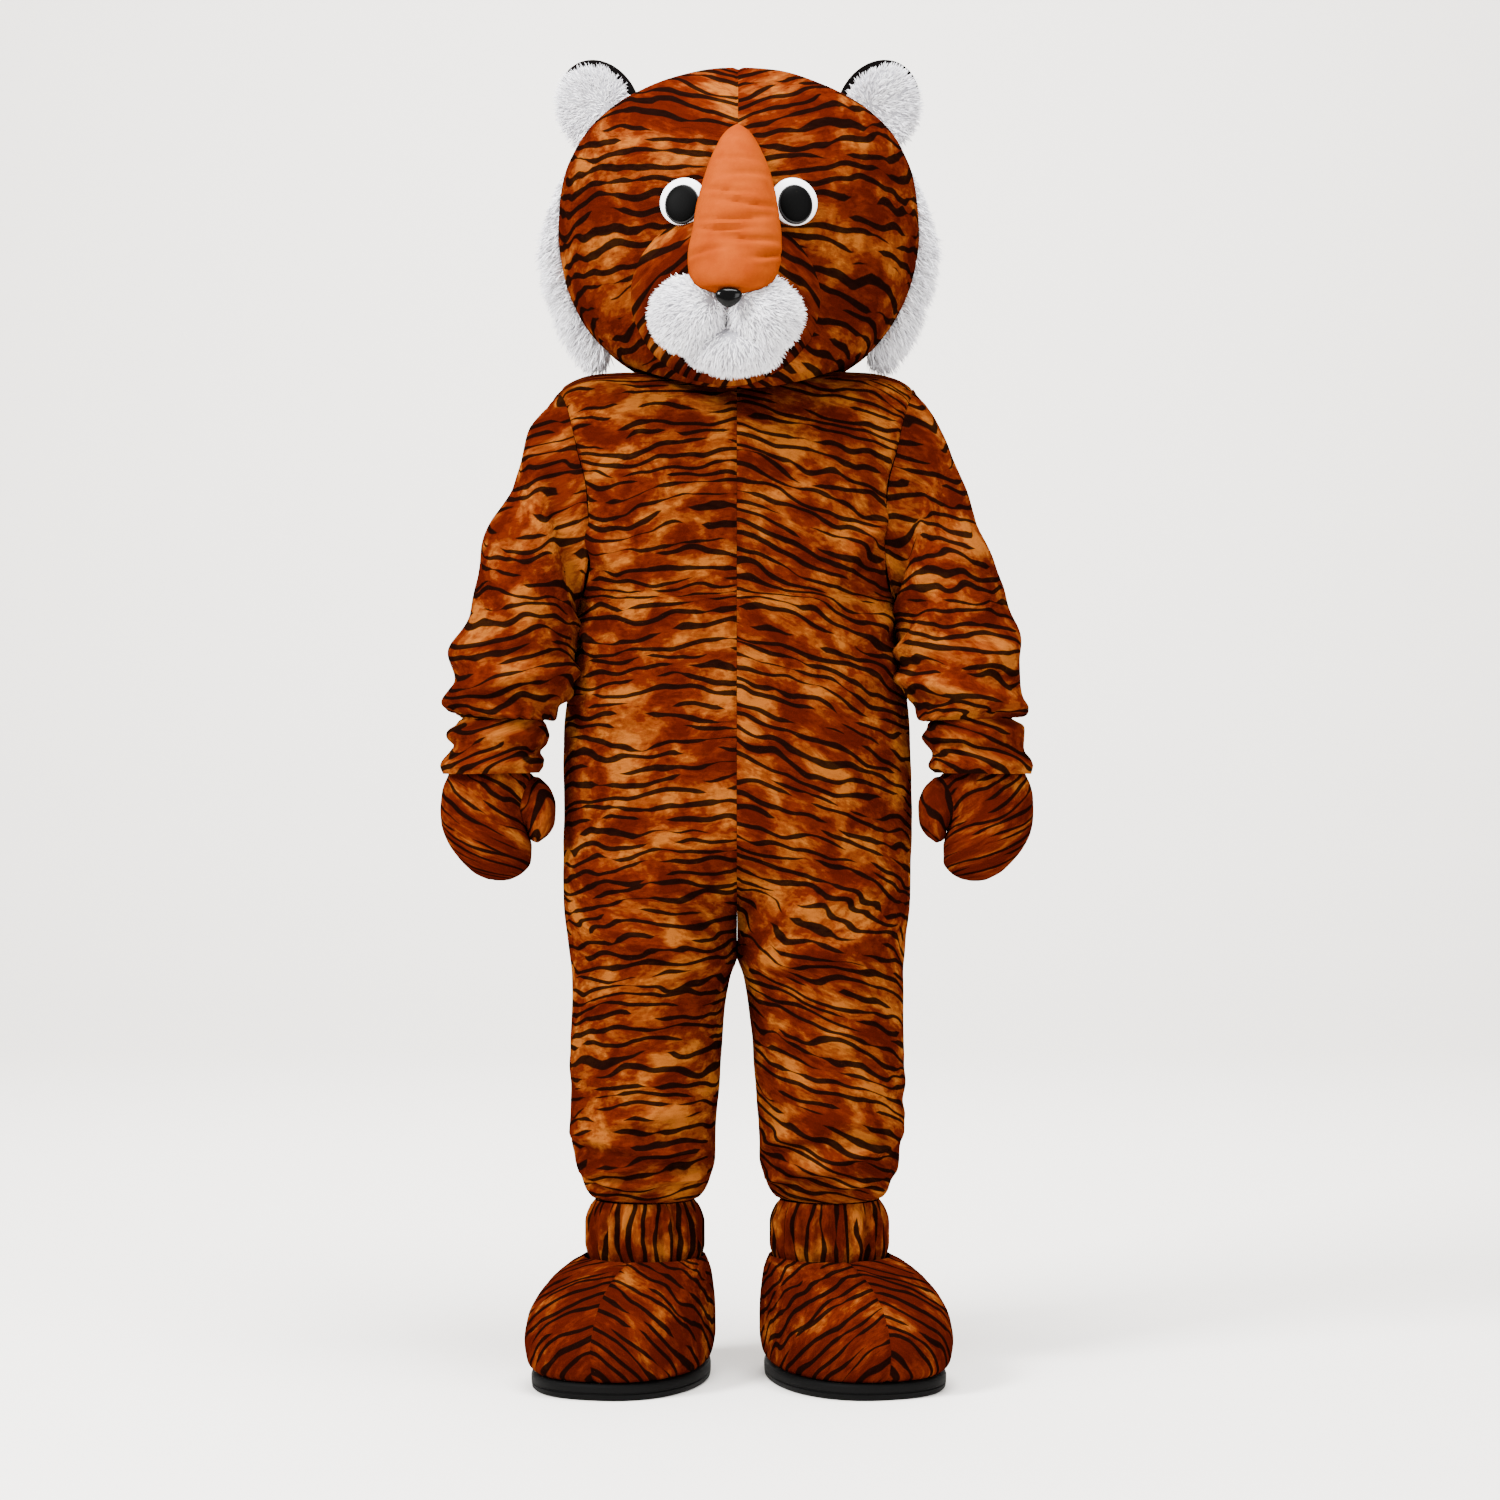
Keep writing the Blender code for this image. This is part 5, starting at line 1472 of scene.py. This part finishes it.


def lobe_shape(side):
    """One plump cheek of the muzzle, flattened where it meets the other."""
    centre = MUZZLE_X + HEAD_X
    shape = ball_grid(LOBE._replace(x=centre * side + LOBE.x), side)
    soften(shape, 0.030, 0.0026, 9.0 + side)
    for vert in shape.verts:
        gap = side * (vert.co.x - centre)
        vert.co.x = centre + side * max(gap, SEAM_PULL)
        vert.co.y += SPLIT_DEPTH * math.exp(-(max(gap, 0.0) / SPLIT_WIDTH) ** 2)
    press_on_face(shape)
    add_fur(shape, LOBE_FUR._replace(seed=LOBE_FUR.seed + int(side)), away_from(LOBE_HUB, 0.15),
            lambda places, ups: head_keep(places, ups) * (side * (places[:, 0] - centre) > SPLIT_BARE))
    return shape


def chin_shape():
    shape = ball_grid(CHIN._replace(x=CHIN.x + HEAD_X))
    soften(shape, 0.030, 0.0022, 15.0)
    press_on_face(shape)
    add_fur(shape, CHIN_FUR, away_from(CHIN_HUB, 0.7), head_keep)
    return shape


def nose_shape():
    """A rounded triangle, wide at the top, with a domed front."""
    shape = bmesh.new()
    bmesh.ops.create_icosphere(shape, subdivisions=4, radius=1.0)
    for vert in shape.verts:
        x, y, z = vert.co
        bulge = math.copysign(abs(y) ** 0.7, -y)
        vert.co = Vector((NOSE_X + HEAD_X + NOSE_HALF_WIDTH * x * (0.76 + 0.26 * z),
                          NOSE_Y - 0.5 * NOSE_DEPTH * (1.0 + bulge),
                          NOSE_HEIGHT - SHOULDER_HEIGHT + NOSE_HALF_HEIGHT * z))
    return shape


EYE_PROFILE = ((0.0, 1.0), (0.30, 0.97), (0.60, 0.86), (0.80, 0.68), (0.90, 0.54), (0.955, 0.44),
               (0.985, 0.34), (1.0, 0.20), (0.995, 0.02), (0.96, -0.12), (0.90, -0.30), (0.0, -0.34))
PUPIL_PROFILE = ((0.0, 1.0), (0.35, 0.97), (0.65, 0.86), (0.82, 0.70), (0.895, 0.58), (0.905, 0.52),
                 (0.915, 0.57), (0.945, 0.56), (0.975, 0.48), (0.995, 0.32), (1.0, 0.10), (0.98, -0.1),
                 (0.0, -0.12))
RIM_FROM = 0.90            # of the pupil's radius
TURN_STEPS = 64


def turned(profile, radius, height):
    """A closed shape turned round Z from a profile of radii and heights."""
    shape = bmesh.new()
    line = [shape.verts.new((share * radius, 0.0, rise * height)) for share, rise in profile]
    edges = [shape.edges.new(pair) for pair in zip(line, line[1:])]
    bmesh.ops.spin(shape, geom=line + edges, cent=(0.0, 0.0, 0.0), axis=(0.0, 0.0, 1.0),
                   angle=2.0 * math.pi, steps=TURN_STEPS, use_merge=True)
    bmesh.ops.remove_doubles(shape, verts=shape.verts, dist=0.00001)
    bmesh.ops.recalc_face_normals(shape, faces=shape.faces)
    return shape


def eye_frame(side):
    """The turn and place of an eye on the face."""
    place, direction = face_place(EYE_SIDEWAYS + side * EYE_X, EYE_HEIGHT)
    turn = direction.to_track_quat("Z", "Y").to_matrix().to_4x4()
    shift = Vector((HEAD_X, 0.0, -SHOULDER_HEIGHT))
    return place + shift, direction, turn


def eye_shape(side):
    shape = turned(EYE_PROFILE, EYE_RADIUS, EYE_DOME)
    place, _, turn = eye_frame(side)
    bmesh.ops.transform(shape, matrix=Matrix.Translation(place) @ turn, verts=shape.verts)
    return shape


def pupil_shape(side):
    shape = turned(PUPIL_PROFILE, PUPIL_WIDTH, PUPIL_DOME)
    for face in shape.faces:
        middle = face.calc_center_median()
        face.material_index = int(math.hypot(middle.x, middle.y) > RIM_FROM * PUPIL_WIDTH)
    stretch = Vector((1.0, PUPIL_LENGTH / PUPIL_WIDTH, 1.0))
    bmesh.ops.scale(shape, vec=stretch, verts=shape.verts)
    place, direction, turn = eye_frame(side)
    centre = place + direction * PUPIL_LIFT + Vector((0.0, 0.0, -PUPIL_DROP))
    bmesh.ops.transform(shape, matrix=Matrix.Translation(centre) @ turn, verts=shape.verts)
    return shape


EAR_SINK = 0.016           # how far an ear goes on below the head's skin
EAR_SEAT = 0.030           # how far below its middle an ear meets the head
EAR_AWAY = (0.72, 0.69)    # the head's outward direction there, sideways and up


def seat_ear(shape, side):
    """Turns an ear into place, and cuts off what would hang inside the head."""
    bmesh.ops.transform(shape, matrix=ear_turn(side), verts=shape.verts)
    away = Vector((side * EAR_AWAY[0], 0.0, EAR_AWAY[1])).normalized()
    width = head_outline(EAR_HEIGHT - EAR_SEAT)[0]
    skin = Vector((side * width + HEAD_X, EAR_Y, EAR_HEIGHT - EAR_SEAT - SHOULDER_HEIGHT))
    whole = shape.verts[:] + shape.edges[:] + shape.faces[:]
    bmesh.ops.bisect_plane(shape, geom=whole, plane_co=skin - away * EAR_SINK, plane_no=away,
                           clear_inner=True)
    rim = [edge for edge in shape.edges if edge.is_boundary]
    bmesh.ops.contextual_create(shape, geom=rim)
    bmesh.ops.triangulate(shape, faces=[face for face in shape.faces if len(face.verts) > 4])


def ear_front_shape(side):
    shape = ear_half(EAR_FRONT_DOME, -1.0, side * EAR_FRONT_SHIFT, EAR_FRONT_SIZE, 0.55)
    seat_ear(shape, side)
    hub = (side * 0.198, EAR_Y - 0.02, EAR_HEIGHT - SHOULDER_HEIGHT)

    def keep(places, ups):
        facing = ear_turn(side).to_3x3() @ Vector((0.0, 1.0, 0.0))
        flat = ups @ np.array(facing)
        return head_keep(places, ups) * np.where(flat > 0.9, 0.0, 1.0)
    add_fur(shape, EAR_FUR._replace(seed=EAR_FUR.seed + int(side)), away_from(hub, 0.0), keep)
    return shape


def ear_back_shape(side):
    shape = ear_half(EAR_BACK_DOME, 1.0, 0.0, 1.0, 0.0)
    seat_ear(shape, side)
    return shape


RUFF_COLUMNS = 40
RUFF_GRID_ROWS = 90
RUFF_INSET = 0.62          # the fur's skin lies this far out of its whole reach
FUR_TOP = 1.80             # height from which the cheek fur grows longer downwards,
FUR_FADE = 0.14            # and over how much height
FUR_DROOP = 1.60           # height from which it turns down,
FUR_DROOP_RUN = 0.10       # and over how much height


def ruff_shape(sizes, side):
    """The skin that the long fur grows from, and the fur combed out and down."""
    turns = np.linspace(0.0, 1.0, RUFF_COLUMNS)
    where, run = spaced(ruff_points, 0, len(RUFF_ROWS) - 1, RUFF_GRID_ROWS, 0.2)
    points = ruff_points(where, turns)
    root = points[:, [RUFF_COLUMNS // 2]]
    points = root + (points - root) * np.array([RUFF_INSET, 0.8, RUFF_INSET])
    points[:, -1] = points[:, 0]
    points[0] = points[0].mean(axis=0)
    points[-1] = points[-1].mean(axis=0)
    middle = points[:, :-1].mean(axis=1, keepdims=True)
    normals = outward(points, grid_normals(points, True), middle)
    points[:, :, 0] = side * points[:, :, 0] + HEAD_X
    normals[:, :, 0] *= side
    prints = np.stack([across_length(points), run[:, None] + 0.0 * points[:, :, 0]], axis=2)
    shape = grid_shape(lowered(points), prints, normals, True)

    def flow(places, ups):
        low = np.clip((FUR_DROOP - SHOULDER_HEIGHT - places[:, 2]) / FUR_DROOP_RUN, 0.0, 1.0)
        away = np.stack([side * (1.0 - 0.45 * low), 0.25 * np.sign(places[:, 1] - RUFF_BACK),
                         -0.45 - 0.6 * low], axis=1)
        return away

    def keep(places, ups):
        top = np.clip((FUR_TOP - SHOULDER_HEIGHT - places[:, 2]) / FUR_FADE, 0.25, 1.0)
        return head_keep(places, ups) * top
    fur = RUFF_FUR._replace(length=sizes.fur_length, seed=RUFF_FUR.seed + int(side))
    add_fur(shape, fur, flow, keep)
    return shape


# Studio

CAMERA_PLACE = (0.019, -5.5, -0.536)
CAMERA_LENS = 89.18
SENSOR_WIDTH = 36.0
SKY = (1.0, 0.98, 0.96)
SKY_STRENGTH = 0.95
COVE = ((-12.0, 0.0), (-5.0, 0.0), (0.0, 0.0), (5.8, 0.0), (6.6, 0.08), (7.2, 0.32), (7.7, 0.76),
        (8.0, 1.40), (8.2, 2.4), (8.2, 8.0))
# Distance back and height of the floor's profile, which curves up into a wall.
COVE_HALF_WIDTH = 12.0
Lamp = namedtuple("Lamp", "name x y z aim_y aim_z width power")
LAMPS = (
    Lamp("key", -3.6, -3.2, 2.6, 0.0, -0.45, 1.6, 1050.0),
    Lamp("fill", 3.4, -4.2, 0.9, 0.0, -0.45, 3.0, 340.0),
    Lamp("top", 0.3, -1.0, 3.2, 0.0, -0.45, 2.0, 520.0),
    Lamp("backdrop", 0.0, 2.6, 3.6, 8.0, 0.0, 4.0, 900.0),
)


def build_stage(context, colours):
    scene = context.scene
    shape = bmesh.new()
    bmesh.ops.create_grid(shape, x_segments=1, y_segments=len(COVE) - 1, size=0.5)
    for vert in shape.verts:
        place = COVE[int(round((vert.co.y + 0.5) * (len(COVE) - 1)))]
        side = 1.0 if vert.co.x > 0.0 else -1.0
        vert.co = Vector((side * COVE_HALF_WIDTH, place[0], place[1] - SHOULDER_HEIGHT))
    finish = new_finish("studio floor", 0.9, colours.floor)[0]
    floor = finish_object("studio_floor", shape, finish, 80.0)
    for lamp in LAMPS:
        light = bpy.data.lights.new(lamp.name, "AREA")
        light.shape = "SQUARE"
        light.size = lamp.width
        light.energy = lamp.power
        item = bpy.data.objects.new(lamp.name, light)
        scene.collection.objects.link(item)
        item.location = (lamp.x, lamp.y, lamp.z)
        aim = Vector((0.0, lamp.aim_y, lamp.aim_z)) - item.location
        item.rotation_euler = aim.to_track_quat("-Z", "Y").to_euler()
    world = bpy.data.worlds.new("studio")
    scene.world = world
    world.use_nodes = True
    backdrop = world.node_tree.nodes["Background"]
    backdrop.inputs[0].default_value = (*SKY, 1.0)
    backdrop.inputs[1].default_value = SKY_STRENGTH
    camera = bpy.data.cameras.new("camera")
    camera.lens = CAMERA_LENS
    camera.sensor_width = SENSOR_WIDTH
    item = bpy.data.objects.new("camera", camera)
    scene.collection.objects.link(item)
    item.location = CAMERA_PLACE
    item.rotation_euler = (math.radians(90.0), 0.0, 0.0)
    scene.camera = item


# The costume in Blender's interface

class CostumeSizes(bpy.types.PropertyGroup):
    plush_wall: bpy.props.FloatProperty(
        name="Plush", description="Thickness of one layer of plush", default=0.003, unit="LENGTH")
    cuff_wall: bpy.props.FloatProperty(
        name="Cuff", description="Thickness of a folded cuff", default=0.005, unit="LENGTH")
    head_wall: bpy.props.FloatProperty(
        name="Head", description="Thickness of plush laminated on foam", default=0.010,
        unit="LENGTH")
    seam_depth: bpy.props.FloatProperty(
        name="Seam depth", description="How far a seam pulls the cloth in", default=0.0026,
        unit="LENGTH")
    seam_width: bpy.props.FloatProperty(
        name="Seam width", description="Reach of a seam's groove", default=0.0048,
        unit="LENGTH")
    fold_strength: bpy.props.FloatProperty(
        name="Folds", description="Scales the depth of every crease", default=1.35, min=0.0,
        max=2.0, subtype="FACTOR")
    fur_length: bpy.props.FloatProperty(
        name="Fur", description="Length of the long cheek fur", default=0.021, unit="LENGTH")


def colour_property(name, description, default):
    return bpy.props.FloatVectorProperty(
        name=name, description=description, default=default, size=3, min=0.0, max=1.0,
        subtype="COLOR")


class CostumeColours(bpy.types.PropertyGroup):
    rust: colour_property("Rust", "Darkest ground of the print", (0.0300, 0.0026, 0.0007))
    russet: colour_property("Russet", "Middle ground of the print", (0.0500, 0.0054, 0.0011))
    amber: colour_property("Amber", "Light ground of the print", (0.0860, 0.0165, 0.0022))
    honey: colour_property("Honey", "Palest ground of the print", (0.1500, 0.0410, 0.0048))
    stripe: colour_property("Stripe", "Stripes of the print", (0.0022, 0.0010, 0.0007))
    orange: colour_property("Orange", "Plush of the nose bridge", (0.1500, 0.0210, 0.0012))
    pale_orange: colour_property("Pale orange", "Worn pile of the bridge", (0.1900, 0.0310, 0.0020))
    white: colour_property("White", "White fur in its depth", (0.620, 0.610, 0.640))
    # Painted shade: the skin under the white tufts, darker to stand in for the shade among them
    shade: colour_property("Shade", "White fur at its roots", (0.300, 0.295, 0.320))
    snow: colour_property("Snow", "White fur at its tips", (0.800, 0.795, 0.815))
    black: colour_property("Black", "Black plush of the ears' backs", (0.0030, 0.0025, 0.0025))
    eye: colour_property("Eye white", "White of the eyes", (0.840, 0.840, 0.860))
    pupil: colour_property("Pupil", "Satin black of the pupils", (0.0008, 0.0008, 0.0008))
    rim: colour_property("Rim", "Grey rim of the pupils", (0.0150, 0.0150, 0.0150))
    nose: colour_property("Nose", "Gloss black of the nose", (0.0008, 0.0008, 0.0008))
    rubber: colour_property("Rubber", "Matt black of the soles", (0.0012, 0.0012, 0.0012))
    floor: colour_property("Floor", "Pale studio floor", (0.880, 0.850, 0.810))


class CostumeOperator:
    bl_options = {"REGISTER", "UNDO"}

    @staticmethod
    def settings(context):
        return context.scene.costume_sizes, context.scene.costume_colours


class COSTUME_OT_suit(CostumeOperator, bpy.types.Operator):
    """Cut and hang the suit's two fronts and two backs, each from shoulder to leg hem"""
    bl_idname = "costume.suit"
    bl_label = "Suit panels"

    def execute(self, context):
        sizes, colours = self.settings(context)
        finish = striped_plush("suit plush", PRINTS["suit"], colours)
        panels = (("front_left", 1.0, -1.0), ("front_right", -1.0, -1.0),
                  ("back_left", 1.0, 1.0), ("back_right", -1.0, 1.0))
        for seed, (name, side, facing) in enumerate(panels):
            points, normals, prints = body_panel(sizes, side, facing)
            prints = slanted(prints, BODY_SLANTS[name], seed + 1.0)
            cloth_piece(name, points, normals, prints, sizes.plush_wall, finish)
        return {"FINISHED"}


class COSTUME_OT_sleeves(CostumeOperator, bpy.types.Operator):
    """Hang the sleeves from the armholes, bunched above the cuffs"""
    bl_idname = "costume.sleeves"
    bl_label = "Sleeves"

    def execute(self, context):
        sizes = context.scene.costume_sizes
        finish = bpy.data.materials["suit plush"]
        for side, name in ((1.0, "sleeve_left"), (-1.0, "sleeve_right")):
            points, normals, prints, along = tube_piece(
                sizes, sleeve_points, len(SLEEVE_ROWS), SLEEVE_GRID_ROWS, SLEEVE_FOLDS, side, 0.13,
                lambda along, length: ((along, False), (length - along, True)), 0.0032)
            points = puckers(points, normals, along, along.max(), along.max() - 0.060, 0.0060, side)
            prints = slanted(prints, 0.12 * side, 7.0 + side)
            cloth_piece(name, points, normals, prints, sizes.plush_wall, finish,
                        True)
        return {"FINISHED"}


class COSTUME_OT_cuffs(CostumeOperator, bpy.types.Operator):
    """Wrap the folded cuffs round the wrists"""
    bl_idname = "costume.cuffs"
    bl_label = "Cuffs"

    def execute(self, context):
        sizes = context.scene.costume_sizes
        finish = bpy.data.materials["suit plush"]

        def cuff_points(where, turns):
            return tube_points(CUFF_ROWS, where, turns)
        for side, name in ((1.0, "cuff_left"), (-1.0, "cuff_right")):
            points, normals, prints, along = tube_piece(
                sizes, cuff_points, len(CUFF_ROWS) - 1, CUFF_GRID_ROWS, CUFF_FOLDS, side, 0.31,
                lambda along, length: ((along, True),), 0.0020)
            points = puckers(points, normals, along, 0.0, 0.022, 0.0018, 2.0 + side)
            prints = slanted(prints, -0.10 * side, 13.0 + side)
            cloth_piece(name, points, normals, prints, sizes.cuff_wall, finish,
                        True)
        return {"FINISHED"}


class COSTUME_OT_mitts(CostumeOperator, bpy.types.Operator):
    """Stretch the backs, palms and thumbs of the mitts over padded hands"""
    bl_idname = "costume.mitts"
    bl_label = "Mitts"

    def execute(self, context):
        sizes, colours = self.settings(context)
        finish = striped_plush("mitt plush", PRINTS["mitt"], colours)
        for side, name in SIDES:
            for label, facing in (("mitt_back_", -1.0), ("mitt_palm_", 1.0)):
                points, normals, prints = mitt_half(sizes, side, facing)
                prints = slanted(prints, 0.0, 19.0 + side + 2.0 * facing)
                cloth_piece(label + name, points, normals, prints, sizes.plush_wall, finish)
            points, normals, prints = mitt_thumb(sizes, side)
            prints = slanted(prints, 0.2, 27.0 + side)
            cloth_piece("mitt_thumb_" + name, points, normals, prints, sizes.plush_wall, finish,
                        True)
        return {"FINISHED"}


class COSTUME_OT_head(CostumeOperator, bpy.types.Operator):
    """Stretch the head's four panels over their foam"""
    bl_idname = "costume.head"
    bl_label = "Head panels"

    def execute(self, context):
        sizes, colours = self.settings(context)
        finish = striped_plush("head plush", PRINTS["head"], colours)
        panels = (("head_front_left", 1.0, -1.0), ("head_front_right", -1.0, -1.0),
                  ("head_back_left", 1.0, 1.0), ("head_back_right", -1.0, 1.0))
        for seed, (name, side, facing) in enumerate(panels):
            points, normals, prints = head_panel(sizes, side, facing)
            prints = slanted(prints, 0.05 * side, 31.0 + seed)
            cloth_piece(name, points, normals, prints, sizes.head_wall, finish)
        return {"FINISHED"}


class COSTUME_OT_muzzle(CostumeOperator, bpy.types.Operator):
    """Stuff the muzzle's pad, its two white lobes and the chin"""
    bl_idname = "costume.muzzle"
    bl_label = "Muzzle and chin"

    def execute(self, context):
        colours = context.scene.costume_colours
        striped = bpy.data.materials["head plush"]
        shape = pad_shape()
        pad = enter(finish_object("stuffed_muzzle_pad", shape, striped), "muzzle_pad")
        fur = plain_plush("white fur", colours.white, colours.snow, 0.0, 0.030, 900.0, 0.0006)
        # Painted shade: a darker finish for the skin between the tufts
        root = plain_plush("painted shade under fur", colours.shade, colours.shade, 0.0, 0.030, 900.0, 0.0006)
        for side, name in ((1.0, "muzzle_left"), (-1.0, "muzzle_right")):
            lobe = enter(finish_object("stuffed_" + name, lobe_shape(side), fur, 80.0), name)
            lobe.data.materials.append(root)
        chin = enter(finish_object("stuffed_chin", chin_shape(), fur, 80.0), "chin")
        chin.data.materials.append(root)
        return {"FINISHED"}


class COSTUME_OT_bridge(CostumeOperator, bpy.types.Operator):
    """Stuff the long orange nose bridge"""
    bl_idname = "costume.bridge"
    bl_label = "Nose bridge"

    def execute(self, context):
        sizes, colours = self.settings(context)
        finish = plain_plush("orange plush", colours.orange, colours.pale_orange, 0.0, 0.045,
                             800.0, 0.0006)
        points, normals, prints = bridge_grid(sizes)
        shape = grid_shape(lowered(points), prints, normals, True)
        bridge = enter(finish_object("stuffed_nose_bridge", shape, finish), "nose_bridge")
        return {"FINISHED"}


class COSTUME_OT_nose(CostumeOperator, bpy.types.Operator):
    """Mould the glossy nose"""
    bl_idname = "costume.nose"
    bl_label = "Nose"

    def execute(self, context):
        colours = context.scene.costume_colours
        finish = plain_plastic("nose plastic", colours.nose, 0.12, 0.10)
        enter(finish_object("moulded_nose", nose_shape(), finish, 80.0), "nose_tip")
        return {"FINISHED"}


class COSTUME_OT_eyes(CostumeOperator, bpy.types.Operator):
    """Set the eyes: a white dome, and a rimmed pupil on it"""
    bl_idname = "costume.eyes"
    bl_label = "Eyes"

    def execute(self, context):
        colours = context.scene.costume_colours
        white = plain_plastic("eye white", colours.eye, 0.38, 0.30)
        black = plain_plastic("pupil black", colours.pupil, 0.55, 0.02)
        grey = plain_plastic("pupil rim", colours.rim, 0.35, 0.12)
        for side, name in SIDES:
            enter(finish_object("eye_dome_" + name, eye_shape(side), white, 60.0),
                  "eye_white_" + name)
            pupil = finish_object("pupil_dome_" + name, pupil_shape(side), black, 40.0)
            pupil.data.materials.append(grey)
            enter(pupil, "eye_pupil_" + name)
        return {"FINISHED"}


class COSTUME_OT_ears(CostumeOperator, bpy.types.Operator):
    """Sew the ears: white furred fronts and black plush backs"""
    bl_idname = "costume.ears"
    bl_label = "Ears"

    def execute(self, context):
        colours = context.scene.costume_colours
        fur = bpy.data.materials["white fur"]
        black = plain_plush("black plush", colours.black, colours.black, 0.05, 0.05, 800.0, 0.0006)
        for side, name in SIDES:
            front = enter(finish_object("furred_ear_front_" + name, ear_front_shape(side), fur,
                                        80.0), "ear_front_" + name)
            # The ear's skin between its tufts takes the painted shade
            front.data.materials.append(bpy.data.materials["painted shade under fur"])
            back = enter(finish_object("stuffed_ear_back_" + name, ear_back_shape(side), black),
                         "ear_back_" + name)
        return {"FINISHED"}


class COSTUME_OT_ruffs(CostumeOperator, bpy.types.Operator):
    """Comb the long white fur that edges both cheeks"""
    bl_idname = "costume.ruffs"
    bl_label = "Cheek ruffs"

    def execute(self, context):
        sizes = context.scene.costume_sizes
        fur = bpy.data.materials["white fur"]
        for side, name in ((1.0, "ruff_left"), (-1.0, "ruff_right")):
            ruff = enter(finish_object("furred_" + name, ruff_shape(sizes, side), fur, 80.0), name)
            # The ruff's skin under its fur takes the painted shade
            ruff.data.materials.append(bpy.data.materials["painted shade under fur"])
        return {"FINISHED"}


class COSTUME_OT_boots(CostumeOperator, bpy.types.Operator):
    """Stretch the boots' plush halves over their padding, and gather the ankle collars"""
    bl_idname = "costume.boots"
    bl_label = "Boots and collars"

    def execute(self, context):
        sizes, colours = self.settings(context)
        finish = striped_plush("boot plush", PRINTS["boot"], colours)
        banded = striped_plush("collar plush", PRINTS["collar"], colours)
        for side, name in SIDES:
            for label, outer in (("boot_outer_", True), ("boot_inner_", False)):
                points, normals, prints = boot_panel(sizes, side, outer)
                prints = slanted(prints, 0.0, 41.0 + side + 3.0 * outer)
                cloth_piece(label + name, points, normals, prints, sizes.plush_wall, finish)
            points, normals, prints = collar_grid(side)
            prints = slanted(prints, 0.0, 53.0 + side)
            cloth_piece("boot_collar_" + name, points, normals, prints, sizes.plush_wall, banded,
                        True)
        return {"FINISHED"}


class COSTUME_OT_soles(CostumeOperator, bpy.types.Operator):
    """Mould the rubber soles"""
    bl_idname = "costume.soles"
    bl_label = "Soles"

    def execute(self, context):
        colours = context.scene.costume_colours
        finish = sole_rubber("sole rubber", colours.rubber)
        for side, name in SIDES:
            points, normals, prints = sole_grid(side)
            shape = grid_shape(lowered(points), prints, normals, True)
            enter(finish_object("moulded_sole_" + name, shape, finish), "boot_sole_" + name)
        return {"FINISHED"}


class COSTUME_OT_stage(CostumeOperator, bpy.types.Operator):
    """Set up a pale studio floor, soft lights and the camera"""
    bl_idname = "costume.stage"
    bl_label = "Studio"

    def execute(self, context):
        colours = context.scene.costume_colours
        build_stage(context, colours)
        return {"FINISHED"}


OPERATORS = (
    COSTUME_OT_suit, COSTUME_OT_sleeves, COSTUME_OT_cuffs, COSTUME_OT_mitts, COSTUME_OT_head,
    COSTUME_OT_muzzle, COSTUME_OT_bridge, COSTUME_OT_nose, COSTUME_OT_eyes, COSTUME_OT_ears,
    COSTUME_OT_ruffs, COSTUME_OT_boots, COSTUME_OT_soles, COSTUME_OT_stage,
)


class COSTUME_PT_panel(bpy.types.Panel):
    """The costume's pieces, sizes and colours"""
    bl_label = "Tiger Mascot Costume"
    bl_idname = "COSTUME_PT_panel"
    bl_space_type = "VIEW_3D"
    bl_region_type = "UI"
    bl_category = "Costume"

    def draw(self, context):
        layout = self.layout
        for title, group in (("Sizes", context.scene.costume_sizes),
                             ("Colours", context.scene.costume_colours)):
            box = layout.box()
            box.label(text=title)
            for name in group.__annotations__:
                box.prop(group, name)
        box = layout.box()
        box.label(text="Pieces")
        for operator in OPERATORS:
            box.operator(operator.bl_idname)


CLASSES = (CostumeSizes, CostumeColours) + OPERATORS + (COSTUME_PT_panel,)


def register():
    for item in CLASSES:
        bpy.utils.register_class(item)
    bpy.types.Scene.costume_sizes = bpy.props.PointerProperty(type=CostumeSizes)
    bpy.types.Scene.costume_colours = bpy.props.PointerProperty(type=CostumeColours)


def unregister():
    del bpy.types.Scene.costume_colours
    del bpy.types.Scene.costume_sizes
    for item in reversed(CLASSES):
        bpy.utils.unregister_class(item)


def main():
    register()
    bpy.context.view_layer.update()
    bpy.ops.costume.suit()
    bpy.ops.costume.sleeves()
    bpy.ops.costume.cuffs()
    bpy.ops.costume.mitts()
    bpy.ops.costume.head()
    bpy.ops.costume.muzzle()
    bpy.ops.costume.bridge()
    bpy.ops.costume.nose()
    bpy.ops.costume.eyes()
    bpy.ops.costume.ears()
    bpy.ops.costume.ruffs()
    bpy.ops.costume.boots()
    bpy.ops.costume.soles()
    bpy.ops.costume.stage()


if __name__ == "__main__":
    main()
